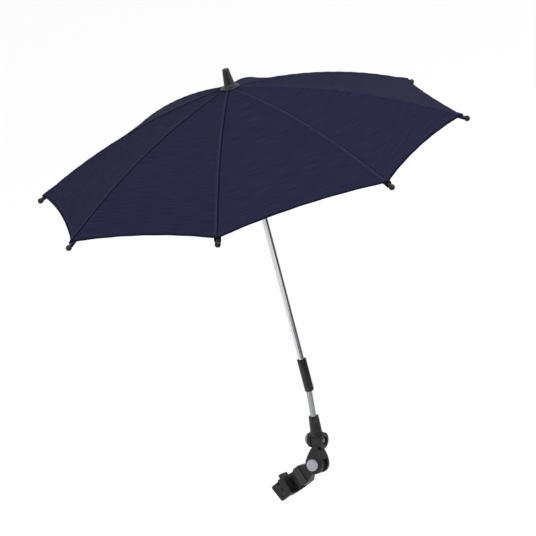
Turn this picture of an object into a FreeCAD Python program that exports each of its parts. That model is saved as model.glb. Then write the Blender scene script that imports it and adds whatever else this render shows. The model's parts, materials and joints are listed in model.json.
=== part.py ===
"""A pram parasol: an eight-panel canopy on a tilting tube, carried by a clamp with two locking joints.

Millimetres, +Z up along the upper tube. The origin is the middle of the clamp's throat,
Y runs along the axis of the tilt joint and the throat opens towards -Y.
"""

import FreeCAD
import Part

import math
import os

# Fits that many pieces share
OVERRUN = 2.0
RUNNING_GAP = 0.06
SIDE_GAP = 0.3
SWING_GAP = 0.5

# Pose of the photographed parasol, in degrees
SHAFT_BEND = 4.7
SOCKET_TURN = -15.0
LINK_LEAN = 18.0
ARM_TURN = 51.5
KNOB_TURN = -12.0
FIRST_RIB_ANGLE = 10.0
RIB_COUNT = 8

# Tubes of the shaft
TUBE_RADIUS = 5.0
TUBE_WALL = 0.8
APEX_HEIGHT = 522.0
LOWER_TUBE_SHOWN = 49.4

# Canopy and its ribs
TIP_RADIUS = 350.0
TIP_DROP = 123.6
RIB_SAGITTA = 17.0
ROD_RADIUS = 1.4
ROD_DROP = 3.0
CLOTH_THICK = 0.8
CLOTH_GAP = 0.7
CORNER_SETBACK = 12.5
HEM_MID_RADIUS = 304.0

# Crown hub, hinge wire and rib lugs
HINGE_RADIUS = 10.0
HINGE_DROP = 8.0
HUB_RADIUS = 13.0
HUB_TOP_DROP = 2.5
HUB_HEIGHT = 12.5
HUB_SLEEVE_RADIUS = 7.2
HUB_SLEEVE_LENGTH = 9.0
WIRE_RADIUS = 0.9
LUG_THICK = 3.0
LUG_EYE_RADIUS = 2.6
LUG_LENGTH = 9.0
LUG_CLIP_RADIUS = 1.8

# Stretchers
STRETCHER_LENGTH = 154.0
STRETCHER_THICK = 3.0
STRETCHER_HEIGHT = 3.2
STRETCHER_EYE_RADIUS = 2.3
PIVOT_DROP = 4.5
PIVOT_LUG_THICK = 2.4
PIVOT_EYE_RADIUS = 2.5
PIVOT_CLIP_LENGTH = 11.0
PIVOT_CLIP_RADIUS = 1.8
FORK_WALL = 0.9
FORK_LENGTH = 16.0
RIVET_RADIUS = 0.8
RIVET_HEAD_RADIUS = 1.5
RIVET_HEAD_HEIGHT = 0.6

# Rib tips
BALL_RADIUS = 4.7
NECK_RADIUS = 2.75
NECK_LENGTH = 14.0
NECK_LIP_RADIUS = 3.3
NECK_LIP_LENGTH = 2.0
SPIGOT_LENGTH = 9.0

# Runner and the ring that stops it
RUNNER_FLANGE_RADIUS = 13.0
RUNNER_FLANGE_ABOVE = 4.0
RUNNER_FLANGE_BELOW = 5.0
RUNNER_TUBE_RADIUS = 7.2
RUNNER_LENGTH = 58.0
RUNNER_GRIP_RADIUS = 10.5
RUNNER_GRIP_HEIGHT = 7.0
RUNNER_GRIP_ROUND = 2.0
STOP_RING_RADIUS = 6.8
STOP_RING_HEIGHT = 4.0

# Ferrule
FERRULE_HEIGHT = 31.0
FERRULE_BASE_RADIUS = 7.0
FERRULE_TOP_RADIUS = 5.4
FERRULE_TOP_ROUND = 1.5
FERRULE_FLANGE_RADIUS = 17.0
FERRULE_FLANGE_RISE = 4.5
FERRULE_RIM = 1.2
FERRULE_BORE_DEPTH = 20.0

# Tilt joint and its locking sleeve
TILT_END = 6.0
TILT_KNUCKLE_RADIUS = 4.2
TILT_TONGUE_THICK = 3.6
TILT_EAR_THICK = 2.2
TILT_PIN_RADIUS = 1.5
TILT_PLUG_LENGTH = 18.0
SLEEVE_RADIUS = 7.8
SLEEVE_WALL = 1.0
SLEEVE_BELOW = 12.0
SLEEVE_ABOVE = 45.0
SLEEVE_COLLAR = 10.0
SLEEVE_ROUND = 0.45

# The two locking joints
UPPER_EAR_RADIUS = 14.0
LOWER_EAR_RADIUS = 16.5
EAR_THICK = 7.6
EAR_ROUND = 2.5
KNUCKLE_RADIUS = 12.6
KNUCKLE_WIDTH = 12.4
NECK_WIDTH = 18.0
JOINT_SPACING = 40.5
BOLT_RADIUS = 3.0
BOLT_HEAD_RADIUS = 3.9
BOLT_HEAD_HEIGHT = 2.4
BOLT_RECESS_RADIUS = 7.0
BOLT_RECESS_DEPTH = 4.2
BUTTON_RADIUS = 9.8
BUTTON_PROUD = 5.6
BUTTON_TRAVEL = 4.0
BUTTON_ROUND = 1.6
BUTTON_SEAT_DEPTH = 1.0
BUTTON_WALL = 3.4
BUTTON_TOP = 2.4
SPRING_WIRE_RADIUS = 0.45
SPRING_RADIUS = 4.6
SPRING_TURNS = 5

# Shaft socket
SOCKET_TOP_RADIUS = 8.5
SOCKET_LENGTH = 44.0
SOCKET_FOOT_RADIUS = 10.6
SOCKET_BLEND = 3.0
SOCKET_DEPTH = 23.0
SCREW_RADIUS = 1.5
SCREW_HEAD_RADIUS = 2.6
SCREW_HEAD_DEPTH = 1.4
SCREW_BELOW_TOP = 5.2
SCREW_TURN = 45.0

# Elbow link
LINK_TOP_WIDTH = 18.0
LINK_ROUND = 3.0
LINK_SHOULDER_ROUND = 12.0

# Clamp
THROAT_RADIUS = 10.5
THROAT_REACH = 56.0
LINER_THICK = 1.5
LINER_ANGLE = 130.0
LINER_FOLD = 12.0
LINER_ROUND = 1.0
CLAMP_WIDTH = 33.0
CLAMP_NECK_WIDTH = 19.5
CLAMP_START_GAP = 1.2
SPINE_THICK = 6.0
JAW_FOOT_DROP = 8.0
INNER_JAW_LIP = 8.0
OUTER_JAW_LIP = 11.0
OUTER_JAW_THICK = 12.5
CLAMP_ROUND = 2.0
JAW_NOSE = 6.5
JAW_NOSE_THICK = 8.0
PAD_RADIUS = 7.5
PAD_THICK = 4.0
PAD_CLEAR = 0.3
PAD_TRAVEL = 6.0
SPINDLE_RADIUS = 4.0
SPINDLE_NOSE_RADIUS = 3.0
SPINDLE_NOSE_LENGTH = 2.4
KNOB_GAP = 0.8
KNOB_HUB_RADIUS = 10.5
KNOB_HUB_LENGTH = 5.0
KNOB_WIDTH = 31.0
KNOB_LENGTH = 20.0
KNOB_THICK = 8.5
KNOB_ROUND = 2.4
KNOB_CORNER = 4.0
KNOB_BORE_DEPTH = 12.0

# What follows from the sizes above
APEX = FreeCAD.Vector(0, 0, APEX_HEIGHT)
X_AXIS = FreeCAD.Vector(1, 0, 0)
Y_AXIS = FreeCAD.Vector(0, 1, 0)
Z_AXIS = FreeCAD.Vector(0, 0, 1)
ORIGIN = FreeCAD.Vector(0, 0, 0)
RIB_STEP = 360.0 / RIB_COUNT
HALF_STEP = math.radians(RIB_STEP / 2)
TUBE_BORE = TUBE_RADIUS - TUBE_WALL
EAR_INSIDE = KNUCKLE_WIDTH / 2 + SIDE_GAP
EAR_OUTSIDE = EAR_INSIDE + EAR_THICK
FORK_GAP_RADIUS = KNUCKLE_RADIUS + SWING_GAP
SOCKET_TOP = SLEEVE_BELOW + LOWER_TUBE_SHOWN
UPPER_JOINT = SOCKET_TOP + SOCKET_LENGTH


# Shapes that more than one piece uses
def cylinder(radius, start, end):
    """A round bar from one point to another."""
    way = end - start
    return Part.makeCylinder(radius, way.Length, start, way)


def turned(outline):
    """A solid of revolution about Z, from (radius, height) corners."""
    points = [FreeCAD.Vector(radius, 0, height) for radius, height in outline]
    face = Part.Face(Part.makePolygon(points + points[:1]))
    return face.revolve(ORIGIN, Z_AXIS, 360)


def block(low, high):
    """A box between two opposite corners."""
    size = high - low
    return Part.makeBox(size.x, size.y, size.z, low)


def swung_plate(radius, half_width, reach, thick):
    """A plate across Z: a disc about the origin with a tongue of a given half width along +X."""
    disc = Part.makeCylinder(radius, thick, FreeCAD.Vector(0, 0, -thick / 2))
    low = FreeCAD.Vector(0, -half_width, -thick / 2)
    return disc.fuse(block(low, FreeCAD.Vector(reach, half_width, thick / 2))).removeSplitter()


def placed(shape, place):
    """A copy of a shape, moved from its own frame to where it belongs."""
    moved = shape.copy()
    moved.Placement = place.multiply(moved.Placement)
    return moved


# Frames of the pieces, each one carried by the one before it
LOWER = FreeCAD.Placement(ORIGIN, FreeCAD.Rotation(Y_AXIS, SHAFT_BEND))
SOCKET = LOWER.multiply(FreeCAD.Placement(ORIGIN, FreeCAD.Rotation(Z_AXIS, SOCKET_TURN)))
UPPER_HINGE = SOCKET.multiply(FreeCAD.Placement(Z_AXIS * -UPPER_JOINT, FreeCAD.Rotation()))
LINK = UPPER_HINGE.multiply(FreeCAD.Placement(ORIGIN, FreeCAD.Rotation(X_AXIS, -LINK_LEAN)))
LOWER_HINGE = LINK.multiply(FreeCAD.Placement(Z_AXIS * -JOINT_SPACING, FreeCAD.Rotation()))
ARM_AXES = FreeCAD.Rotation(-Z_AXIS, X_AXIS, -Y_AXIS, "XYZ")
CLAMP = LOWER_HINGE.multiply(FreeCAD.Placement(ORIGIN, ARM_AXES)).multiply(
    FreeCAD.Placement(ORIGIN, FreeCAD.Rotation(Z_AXIS, -ARM_TURN))
)
UPPER_BOLT = UPPER_HINGE.multiply(FreeCAD.Placement(ORIGIN, FreeCAD.Rotation(Y_AXIS, -90)))
LOWER_BOLT = LOWER_HINGE.multiply(FreeCAD.Placement(ORIGIN, FreeCAD.Rotation(X_AXIS, 90)))
THROAT = CLAMP.multVec(X_AXIS * THROAT_REACH)


# The curve of a rib and of the cloth over it, in one plane through the shaft
ROD_START = FreeCAD.Vector(HINGE_RADIUS, 0, -ROD_DROP)
TIP = FreeCAD.Vector(TIP_RADIUS, 0, -TIP_DROP)
CHORD = TIP - ROD_START
ROD_CURVE_RADIUS = (CHORD.Length**2 / 4 + RIB_SAGITTA**2) / (2 * RIB_SAGITTA)
CHORD_NORMAL = FreeCAD.Vector(-CHORD.z, 0, CHORD.x) / CHORD.Length
CURVE_CENTRE = (ROD_START + TIP) / 2 - CHORD_NORMAL * (ROD_CURVE_RADIUS - RIB_SAGITTA)
CLOTH_CURVE_RADIUS = ROD_CURVE_RADIUS + ROD_RADIUS + CLOTH_GAP + CLOTH_THICK


def on_curve(reach, curve_radius):
    """The point at a given distance from the shaft, on an arc about the rib's centre of curvature."""
    across = reach - CURVE_CENTRE.x
    return FreeCAD.Vector(reach, 0, CURVE_CENTRE.z + math.sqrt(curve_radius**2 - across**2))


def curve_edge(start_reach, end_reach, curve_radius):
    """The stretch of such an arc between two distances from the shaft."""
    reaches = (start_reach, (start_reach + end_reach) / 2, end_reach)
    return Part.Arc(*[on_curve(reach, curve_radius) for reach in reaches]).toShape()


def meeting_point(first, first_radius, second, second_radius):
    """The upper of the two points where two circles in the rib's plane meet."""
    way = second - first
    along = (first_radius**2 - second_radius**2 + way.Length**2) / (2 * way.Length)
    across = math.sqrt(first_radius**2 - along**2)
    way.normalize()
    return first + way * along + FreeCAD.Vector(way.z, 0, -way.x) * across


CROWN_HINGE = FreeCAD.Vector(HINGE_RADIUS, 0, -HINGE_DROP)
STRETCHER_PIVOT = meeting_point(
    CURVE_CENTRE, ROD_CURVE_RADIUS - PIVOT_DROP, CROWN_HINGE, STRETCHER_LENGTH
)
RUNNER_HINGE = FreeCAD.Vector(HINGE_RADIUS, 0, 2 * STRETCHER_PIVOT.z + HINGE_DROP)


def curve_tangent(spot):
    """The way along the rib, outwards, at a point on its curve."""
    way = FreeCAD.Vector(spot.z - CURVE_CENTRE.z, 0, CURVE_CENTRE.x - spot.x)
    return way / way.Length


ROD_END = on_curve((TIP - curve_tangent(TIP) * NECK_LENGTH).x, ROD_CURVE_RADIUS)
TIP_AXIS = curve_tangent(ROD_END)


def round_the_crown(shape):
    """One copy of a shape for each rib, turned about the shaft and lifted to the apex."""
    copies = []
    for count in range(RIB_COUNT):
        turn = FreeCAD.Rotation(Z_AXIS, FIRST_RIB_ANGLE + RIB_STEP * count)
        copies.append(placed(shape, FreeCAD.Placement(APEX, turn)))
    return copies


def joined(shapes):
    """Several solids fused into one."""
    return shapes[0].multiFuse(shapes[1:]).removeSplitter()


def one_tool(shapes):
    """Several solids as one tool for a cut."""
    return Part.Compound(shapes)


# Tubes
def make_upper_tube():
    start = Z_AXIS * TILT_END
    end = APEX + Z_AXIS * FERRULE_BORE_DEPTH
    return cylinder(TUBE_RADIUS, start, end).cut(cylinder(TUBE_BORE, start, end))


def make_lower_tube():
    start = Z_AXIS * -TILT_END
    end = Z_AXIS * -(SOCKET_TOP + SOCKET_DEPTH)
    tube = cylinder(TUBE_RADIUS, start, end).cut(cylinder(TUBE_BORE, start, end))
    return tube.cut(socket_screw_shape())


# Ferrule and crown hub
def make_ferrule():
    seat = on_curve(FERRULE_FLANGE_RADIUS, CLOTH_CURVE_RADIUS).z + CLOTH_GAP
    inner_seat = on_curve(TUBE_RADIUS, CLOTH_CURVE_RADIUS).z + CLOTH_GAP
    rise = seat + FERRULE_RIM + FERRULE_FLANGE_RISE
    body = turned(
        [
            (0, inner_seat),
            (TUBE_RADIUS, inner_seat),
            (FERRULE_FLANGE_RADIUS, seat),
            (FERRULE_FLANGE_RADIUS, seat + FERRULE_RIM),
            (FERRULE_BASE_RADIUS, rise),
            (FERRULE_TOP_RADIUS, FERRULE_HEIGHT),
            (0, FERRULE_HEIGHT),
        ]
    )
    rim = [edge for edge in body.Edges if edge.BoundBox.ZMin > FERRULE_HEIGHT - FERRULE_TOP_ROUND]
    body = body.makeFillet(FERRULE_TOP_ROUND, [edge for edge in rim if edge.Length > FERRULE_TOP_RADIUS])
    bore = cylinder(TUBE_RADIUS, Z_AXIS * -OVERRUN, Z_AXIS * FERRULE_BORE_DEPTH)
    return placed(body.cut(bore), FreeCAD.Placement(APEX, FreeCAD.Rotation()))


def make_hinge_wire():
    """The ring of wire that the rib lugs turn on: straight sides, one in each slot, with mitred corners."""
    reach = HINGE_RADIUS / math.cos(HALF_STEP)
    corners = []
    for count in range(RIB_COUNT):
        angle = math.radians(FIRST_RIB_ANGLE + RIB_STEP * (count + 0.5))
        corners.append(FreeCAD.Vector(reach * math.cos(angle), reach * math.sin(angle), -HINGE_DROP) + APEX)
    start = (corners[-1] + corners[0]) / 2
    path = Part.makePolygon([start] + corners + [start])
    ring = Part.Wire([Part.makeCircle(WIRE_RADIUS, start, corners[0] - start)])
    return path.makePipeShell([ring], True, True, 1)


def make_crown_hub(wire):
    top = -HUB_TOP_DROP
    base = top - HUB_HEIGHT
    hub = turned(
        [
            (TUBE_RADIUS, top),
            (HUB_RADIUS, top),
            (HUB_RADIUS, base),
            (HUB_SLEEVE_RADIUS, base),
            (HUB_SLEEVE_RADIUS, base - HUB_SLEEVE_LENGTH),
            (TUBE_RADIUS, base - HUB_SLEEVE_LENGTH),
        ]
    )
    hub = placed(hub, FreeCAD.Placement(APEX, FreeCAD.Rotation()))
    half = LUG_THICK / 2 + SIDE_GAP
    inside = HINGE_RADIUS - LUG_EYE_RADIUS - SIDE_GAP
    low = FreeCAD.Vector(inside, -half, base - OVERRUN)
    slot = block(low, FreeCAD.Vector(HUB_RADIUS + OVERRUN, half, top + OVERRUN))
    hub = hub.cut(one_tool(round_the_crown(slot)))
    return hub.cut(wire)


# Ribs, tips and stretchers
def link_plate(start, end, half_start, half_end, thick):
    """A flat bar in the rib's plane, with round ends of two sizes."""
    way = end - start
    plate = Part.makeCylinder(half_start, thick, start - Y_AXIS * thick / 2, Y_AXIS)
    plate = plate.fuse(Part.makeCylinder(half_end, thick, end - Y_AXIS * thick / 2, Y_AXIS))
    lean = math.asin((half_start - half_end) / way.Length)
    along = way / way.Length
    across = FreeCAD.Vector(-along.z, 0, along.x)
    up = across * math.cos(lean) + along * math.sin(lean)
    down = across * -math.cos(lean) + along * math.sin(lean)
    corners = [
        start + up * half_start,
        end + up * half_end,
        end + down * half_end,
        start + down * half_start,
    ]
    corners = [corner - Y_AXIS * thick / 2 for corner in corners]
    web = Part.Face(Part.makePolygon(corners + corners[:1])).extrude(Y_AXIS * thick)
    return plate.fuse(web).removeSplitter()


def make_rib():
    reach = HINGE_RADIUS + LUG_EYE_RADIUS
    spine = Part.Wire([curve_edge(reach, ROD_END.x, ROD_CURVE_RADIUS)])
    start = on_curve(reach, ROD_CURVE_RADIUS)
    ring = Part.Wire([Part.makeCircle(ROD_RADIUS, start, curve_tangent(start))])
    rod = spine.makePipeShell([ring], True, True)
    spigot = cylinder(ROD_RADIUS, ROD_END, ROD_END + TIP_AXIS * SPIGOT_LENGTH)
    clip_end = on_curve(reach + LUG_LENGTH, ROD_CURVE_RADIUS)
    clip_middle = on_curve(reach + LUG_LENGTH / 2, ROD_CURVE_RADIUS)
    lug_clip = cylinder(LUG_CLIP_RADIUS, start, clip_end)
    lug = link_plate(CROWN_HINGE, clip_middle, LUG_EYE_RADIUS, ROD_RADIUS, LUG_THICK)
    eye = bar_across(CROWN_HINGE, WIRE_RADIUS + RUNNING_GAP, LUG_THICK + OVERRUN)
    above = on_curve(STRETCHER_PIVOT.x, ROD_CURVE_RADIUS)
    half = PIVOT_CLIP_LENGTH / 2
    clip_ends = [on_curve(STRETCHER_PIVOT.x + side * half, ROD_CURVE_RADIUS) for side in (-1, 1)]
    pivot_clip = cylinder(PIVOT_CLIP_RADIUS, *clip_ends)
    pivot_lug = link_plate(STRETCHER_PIVOT, above, PIVOT_EYE_RADIUS, ROD_RADIUS, PIVOT_LUG_THICK)
    hole = bar_across(STRETCHER_PIVOT, RIVET_RADIUS + RUNNING_GAP, PIVOT_LUG_THICK + OVERRUN)
    rib = joined([rod, spigot, lug_clip, lug, pivot_clip, pivot_lug])
    return rib.cut(eye).cut(hole)


def bar_across(middle, radius, length):
    """A round bar square to the rib's plane, centred on a point."""
    return cylinder(radius, middle - Y_AXIS * length / 2, middle + Y_AXIS * length / 2)


def make_rib_tip():
    middle = ROD_END + TIP_AXIS * NECK_LENGTH
    neck = cylinder(NECK_RADIUS, ROD_END, middle)
    lip = cylinder(NECK_LIP_RADIUS, ROD_END, ROD_END + TIP_AXIS * NECK_LIP_LENGTH)
    ball = Part.makeSphere(BALL_RADIUS, middle)
    socket = cylinder(ROD_RADIUS, ROD_END - TIP_AXIS * OVERRUN, ROD_END + TIP_AXIS * SPIGOT_LENGTH)
    return joined([ball, neck, lip]).cut(socket)


def make_stretcher():
    way = RUNNER_HINGE - STRETCHER_PIVOT
    along = way / way.Length
    bar_start = STRETCHER_PIVOT + along * (PIVOT_EYE_RADIUS + SWING_GAP + STRETCHER_HEIGHT / 2)
    bar = link_plate(
        bar_start, RUNNER_HINGE, STRETCHER_HEIGHT / 2, STRETCHER_EYE_RADIUS, PIVOT_LUG_THICK
    )
    eye = bar_across(RUNNER_HINGE, STRETCHER_EYE_RADIUS, STRETCHER_THICK)
    inside = PIVOT_LUG_THICK / 2 + RUNNING_GAP
    cheek_end = STRETCHER_PIVOT + along * FORK_LENGTH
    cheek = link_plate(
        STRETCHER_PIVOT, cheek_end, PIVOT_EYE_RADIUS, STRETCHER_HEIGHT / 2, 2 * (inside + FORK_WALL)
    )
    gap = link_plate(
        STRETCHER_PIVOT - along * PIVOT_EYE_RADIUS,
        bar_start,
        PIVOT_EYE_RADIUS + SWING_GAP,
        PIVOT_EYE_RADIUS + SWING_GAP,
        2 * inside,
    )
    seam = link_plate(
        bar_start, cheek_end, STRETCHER_HEIGHT / 2, STRETCHER_HEIGHT / 2, 2 * (inside + FORK_WALL)
    )
    outside = inside + FORK_WALL
    rivet = bar_across(STRETCHER_PIVOT, RIVET_RADIUS, 2 * outside)
    heads = []
    for side in (1, -1):
        start = STRETCHER_PIVOT + Y_AXIS * side * outside
        heads.append(cylinder(RIVET_HEAD_RADIUS, start, start + Y_AXIS * side * RIVET_HEAD_HEIGHT))
    strut = joined([cheek.cut(gap), seam, bar, eye])
    return joined([strut, rivet] + heads)


# Runner
def make_runner():
    top = RUNNER_HINGE.z + RUNNER_FLANGE_ABOVE
    base = RUNNER_HINGE.z - RUNNER_FLANGE_BELOW
    end = top - RUNNER_LENGTH
    bore = TUBE_RADIUS + RUNNING_GAP
    body = turned(
        [
            (bore, top),
            (RUNNER_FLANGE_RADIUS, top),
            (RUNNER_FLANGE_RADIUS, base),
            (RUNNER_TUBE_RADIUS, base),
            (RUNNER_TUBE_RADIUS, end + RUNNER_GRIP_HEIGHT),
            (RUNNER_GRIP_RADIUS, end + RUNNER_GRIP_HEIGHT - RUNNER_GRIP_ROUND),
            (RUNNER_GRIP_RADIUS, end + RUNNER_GRIP_ROUND),
            (RUNNER_GRIP_RADIUS - RUNNER_GRIP_ROUND, end),
            (bore, end),
        ]
    )
    body = placed(body, FreeCAD.Placement(APEX, FreeCAD.Rotation()))
    half = STRETCHER_THICK / 2 + SIDE_GAP
    low = FreeCAD.Vector(RUNNER_TUBE_RADIUS, -half, base - OVERRUN)
    slot = block(low, FreeCAD.Vector(RUNNER_FLANGE_RADIUS + OVERRUN, half, top + OVERRUN))
    return body.cut(one_tool(round_the_crown(slot)))


def make_stop_ring():
    start = APEX + Z_AXIS * (RUNNER_HINGE.z + RUNNER_FLANGE_ABOVE + SIDE_GAP)
    end = start + Z_AXIS * STOP_RING_HEIGHT
    return cylinder(STOP_RING_RADIUS, start, end).cut(cylinder(TUBE_RADIUS, start, end))


# Canopy
def cloth_profile(lift):
    """The section of one panel along its middle, where the panel is narrower than along the ribs."""
    narrow = math.cos(HALF_STEP)
    points = []
    stations = 9
    reach = TIP_RADIUS
    for count in range(stations):
        share = count / (stations - 1)
        spot = on_curve(reach * share, CLOTH_CURVE_RADIUS)
        points.append(FreeCAD.Vector(spot.x * narrow, 0, spot.z + lift))
    curve = Part.BSplineCurve()
    curve.interpolate(points)
    return curve.toShape()


def make_canopy():
    upper = cloth_profile(0)
    lower = cloth_profile(-CLOTH_THICK)
    ends = []
    for place in (0, -1):
        ends.append(Part.makeLine(upper.Vertexes[place].Point, lower.Vertexes[place].Point))
    section = Part.Face(Part.Wire([upper, ends[1], lower, ends[0]]))
    panel = section.extrude(Y_AXIS * 2 * TIP_RADIUS)
    panel.translate(Y_AXIS * -TIP_RADIUS)
    corner = TIP_RADIUS - CORNER_SETBACK
    floor = -TIP_DROP - OVERRUN
    sides = []
    for side in (1, -1):
        angle = HALF_STEP * side
        sides.append(FreeCAD.Vector(corner * math.cos(angle), corner * math.sin(angle), floor))
    hem = Part.Arc(sides[0], FreeCAD.Vector(HEM_MID_RADIUS, 0, floor), sides[1]).toShape()
    middle = FreeCAD.Vector(0, 0, floor)
    outline = Part.Wire([Part.makeLine(middle, sides[0]), hem, Part.makeLine(sides[1], middle)])
    wedge = Part.Face(outline).extrude(Z_AXIS * (TIP_DROP + 2 * OVERRUN))
    gore = panel.common(wedge)
    turn = FreeCAD.Rotation(Z_AXIS, RIB_STEP / 2)
    gores = round_the_crown(placed(gore, FreeCAD.Placement(ORIGIN, turn)))
    hole = cylinder(TUBE_RADIUS, APEX - Z_AXIS * TIP_DROP, APEX + Z_AXIS * TIP_DROP)
    return joined(gores).cut(hole)


# Tilt joint
def tilt_plug():
    """The round plug that fills the end of a tube at the tilt joint."""
    return cylinder(TUBE_BORE, Z_AXIS * TILT_END, Z_AXIS * (TILT_END + TILT_PLUG_LENGTH))


def tilt_knuckle(half_thick):
    """The flat knuckle that reaches from such a plug to round the tilt axis."""
    head = cylinder(TILT_KNUCKLE_RADIUS, Y_AXIS * -half_thick, Y_AXIS * half_thick)
    low = FreeCAD.Vector(-TILT_KNUCKLE_RADIUS, -half_thick, 0)
    neck = block(low, FreeCAD.Vector(TILT_KNUCKLE_RADIUS, half_thick, TILT_END))
    return head.fuse(neck).removeSplitter()


def make_tilt_tongue():
    hole_radius = TILT_PIN_RADIUS + RUNNING_GAP
    hole = cylinder(hole_radius, Y_AXIS * -TUBE_RADIUS, Y_AXIS * TUBE_RADIUS)
    tongue = tilt_plug().fuse(tilt_knuckle(TILT_TONGUE_THICK / 2))
    return tongue.removeSplitter().cut(hole)


def make_tilt_fork():
    inside = TILT_TONGUE_THICK / 2 + RUNNING_GAP
    outside = inside + TILT_EAR_THICK
    low = FreeCAD.Vector(-TUBE_RADIUS, -inside, -TUBE_RADIUS)
    gap = block(low, FreeCAD.Vector(TUBE_RADIUS, inside, TILT_END))
    hole = cylinder(TILT_PIN_RADIUS, Y_AXIS * -TUBE_RADIUS, Y_AXIS * TUBE_RADIUS)
    fork = tilt_plug().fuse(tilt_knuckle(outside).cut(gap)).removeSplitter().cut(hole)
    fork.rotate(ORIGIN, X_AXIS, 180)
    return fork


def make_tilt_pin():
    reach = TILT_TONGUE_THICK / 2 + RUNNING_GAP + TILT_EAR_THICK
    return cylinder(TILT_PIN_RADIUS, Y_AXIS * -reach, Y_AXIS * reach)


def make_locking_sleeve():
    bore = SLEEVE_RADIUS - SLEEVE_WALL
    guide = TUBE_RADIUS + RUNNING_GAP
    shell = turned(
        [
            (bore, -SLEEVE_BELOW),
            (SLEEVE_RADIUS, -SLEEVE_BELOW),
            (SLEEVE_RADIUS, SLEEVE_ABOVE),
            (guide, SLEEVE_ABOVE),
            (guide, SLEEVE_ABOVE - SLEEVE_COLLAR),
            (bore, SLEEVE_ABOVE - SLEEVE_COLLAR),
        ]
    )
    rims = [edge for edge in shell.Edges if is_rim(edge)]
    return shell.makeFillet(SLEEVE_ROUND, rims)


def is_rim(edge):
    """Whether an edge is one of the sleeve's outer rims."""
    box = edge.BoundBox
    return box.ZLength < SLEEVE_ROUND and box.XLength > 2 * SLEEVE_RADIUS - SLEEVE_WALL


# Locking joints
def make_bolt():
    """A pivot bolt in its own frame: Z along the joint, towards the button."""
    head_base = -EAR_OUTSIDE + BOLT_RECESS_DEPTH
    shank = cylinder(BOLT_RADIUS, Z_AXIS * head_base, Z_AXIS * bolt_end())
    head = cylinder(BOLT_HEAD_RADIUS, Z_AXIS * (head_base - BOLT_HEAD_HEIGHT), Z_AXIS * head_base)
    return shank.fuse(head).removeSplitter()


def pocket_floor():
    """How far the floor of a button's pocket is from the middle of its joint."""
    return EAR_OUTSIDE - BUTTON_SEAT_DEPTH - BUTTON_TRAVEL - SIDE_GAP


def bolt_end():
    return EAR_OUTSIDE - BUTTON_SEAT_DEPTH


def make_button():
    inner = EAR_OUTSIDE - BUTTON_SEAT_DEPTH
    outer = EAR_OUTSIDE + BUTTON_PROUD
    cap = cylinder(BUTTON_RADIUS, Z_AXIS * inner, Z_AXIS * outer)
    rim = [edge for edge in cap.Edges if edge.BoundBox.ZMin > outer - BUTTON_ROUND]
    cap = cap.makeFillet(BUTTON_ROUND, rim)
    hollow = cylinder(BUTTON_RADIUS - BUTTON_WALL, Z_AXIS * (inner - OVERRUN), Z_AXIS * (outer - BUTTON_TOP))
    return cap.cut(hollow)


def make_button_spring():
    start = pocket_floor() + SPRING_WIRE_RADIUS
    length = EAR_OUTSIDE + BUTTON_PROUD - BUTTON_TOP - SPRING_WIRE_RADIUS - start
    spine = Part.makeHelix(length / SPRING_TURNS, length, SPRING_RADIUS)
    spine.translate(Z_AXIS * start)
    ring = Part.makeCircle(SPRING_WIRE_RADIUS, FreeCAD.Vector(SPRING_RADIUS, 0, start), Y_AXIS)
    return Part.Wire(spine.Edges).makePipeShell([Part.Wire([ring])], True, True)


def ear_cuts():
    """What a fork loses: the gap for the knuckle, the bolt's hole, the button's pocket and the recess."""
    gap = cylinder(FORK_GAP_RADIUS, Z_AXIS * -EAR_INSIDE, Z_AXIS * EAR_INSIDE)
    wide = max(UPPER_EAR_RADIUS, LOWER_EAR_RADIUS) + OVERRUN
    low = FreeCAD.Vector(-NECK_WIDTH / 2 - SWING_GAP, -wide, -EAR_INSIDE)
    gap = gap.fuse(block(low, FreeCAD.Vector(wide, wide, EAR_INSIDE)))
    past = EAR_OUTSIDE + OVERRUN
    hole = cylinder(BOLT_RADIUS, Z_AXIS * -past, Z_AXIS * past)
    pocket = cylinder(BUTTON_RADIUS + RUNNING_GAP, Z_AXIS * pocket_floor(), Z_AXIS * past)
    recess = cylinder(BOLT_RECESS_RADIUS, Z_AXIS * (BOLT_RECESS_DEPTH - EAR_OUTSIDE), Z_AXIS * -past)
    return [gap, hole, pocket, recess]


def make_ears(radius):
    """A fork's two ears as one round drum about Z, before it is cut."""
    drum = cylinder(radius, Z_AXIS * -EAR_OUTSIDE, Z_AXIS * EAR_OUTSIDE)
    return drum.makeFillet(EAR_ROUND, [edge for edge in drum.Edges if edge.BoundBox.ZLength < EAR_ROUND])


# Socket for the lower tube
def socket_screw_shape():
    """The grub screw that holds the lower tube in its socket, in the lower tube's frame."""
    height = -(SOCKET_TOP + SCREW_BELOW_TOP)
    middle = FreeCAD.Vector(0, 0, height)
    face = SOCKET_TOP_RADIUS
    head_start = middle - Y_AXIS * (face - SCREW_HEAD_DEPTH)
    shank = cylinder(SCREW_RADIUS, middle - Y_AXIS * TUBE_BORE, head_start)
    head = cylinder(SCREW_HEAD_RADIUS, head_start, middle - Y_AXIS * face)
    screw = shank.fuse(head).removeSplitter()
    screw.rotate(ORIGIN, Z_AXIS, SCREW_TURN)
    return screw


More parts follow.
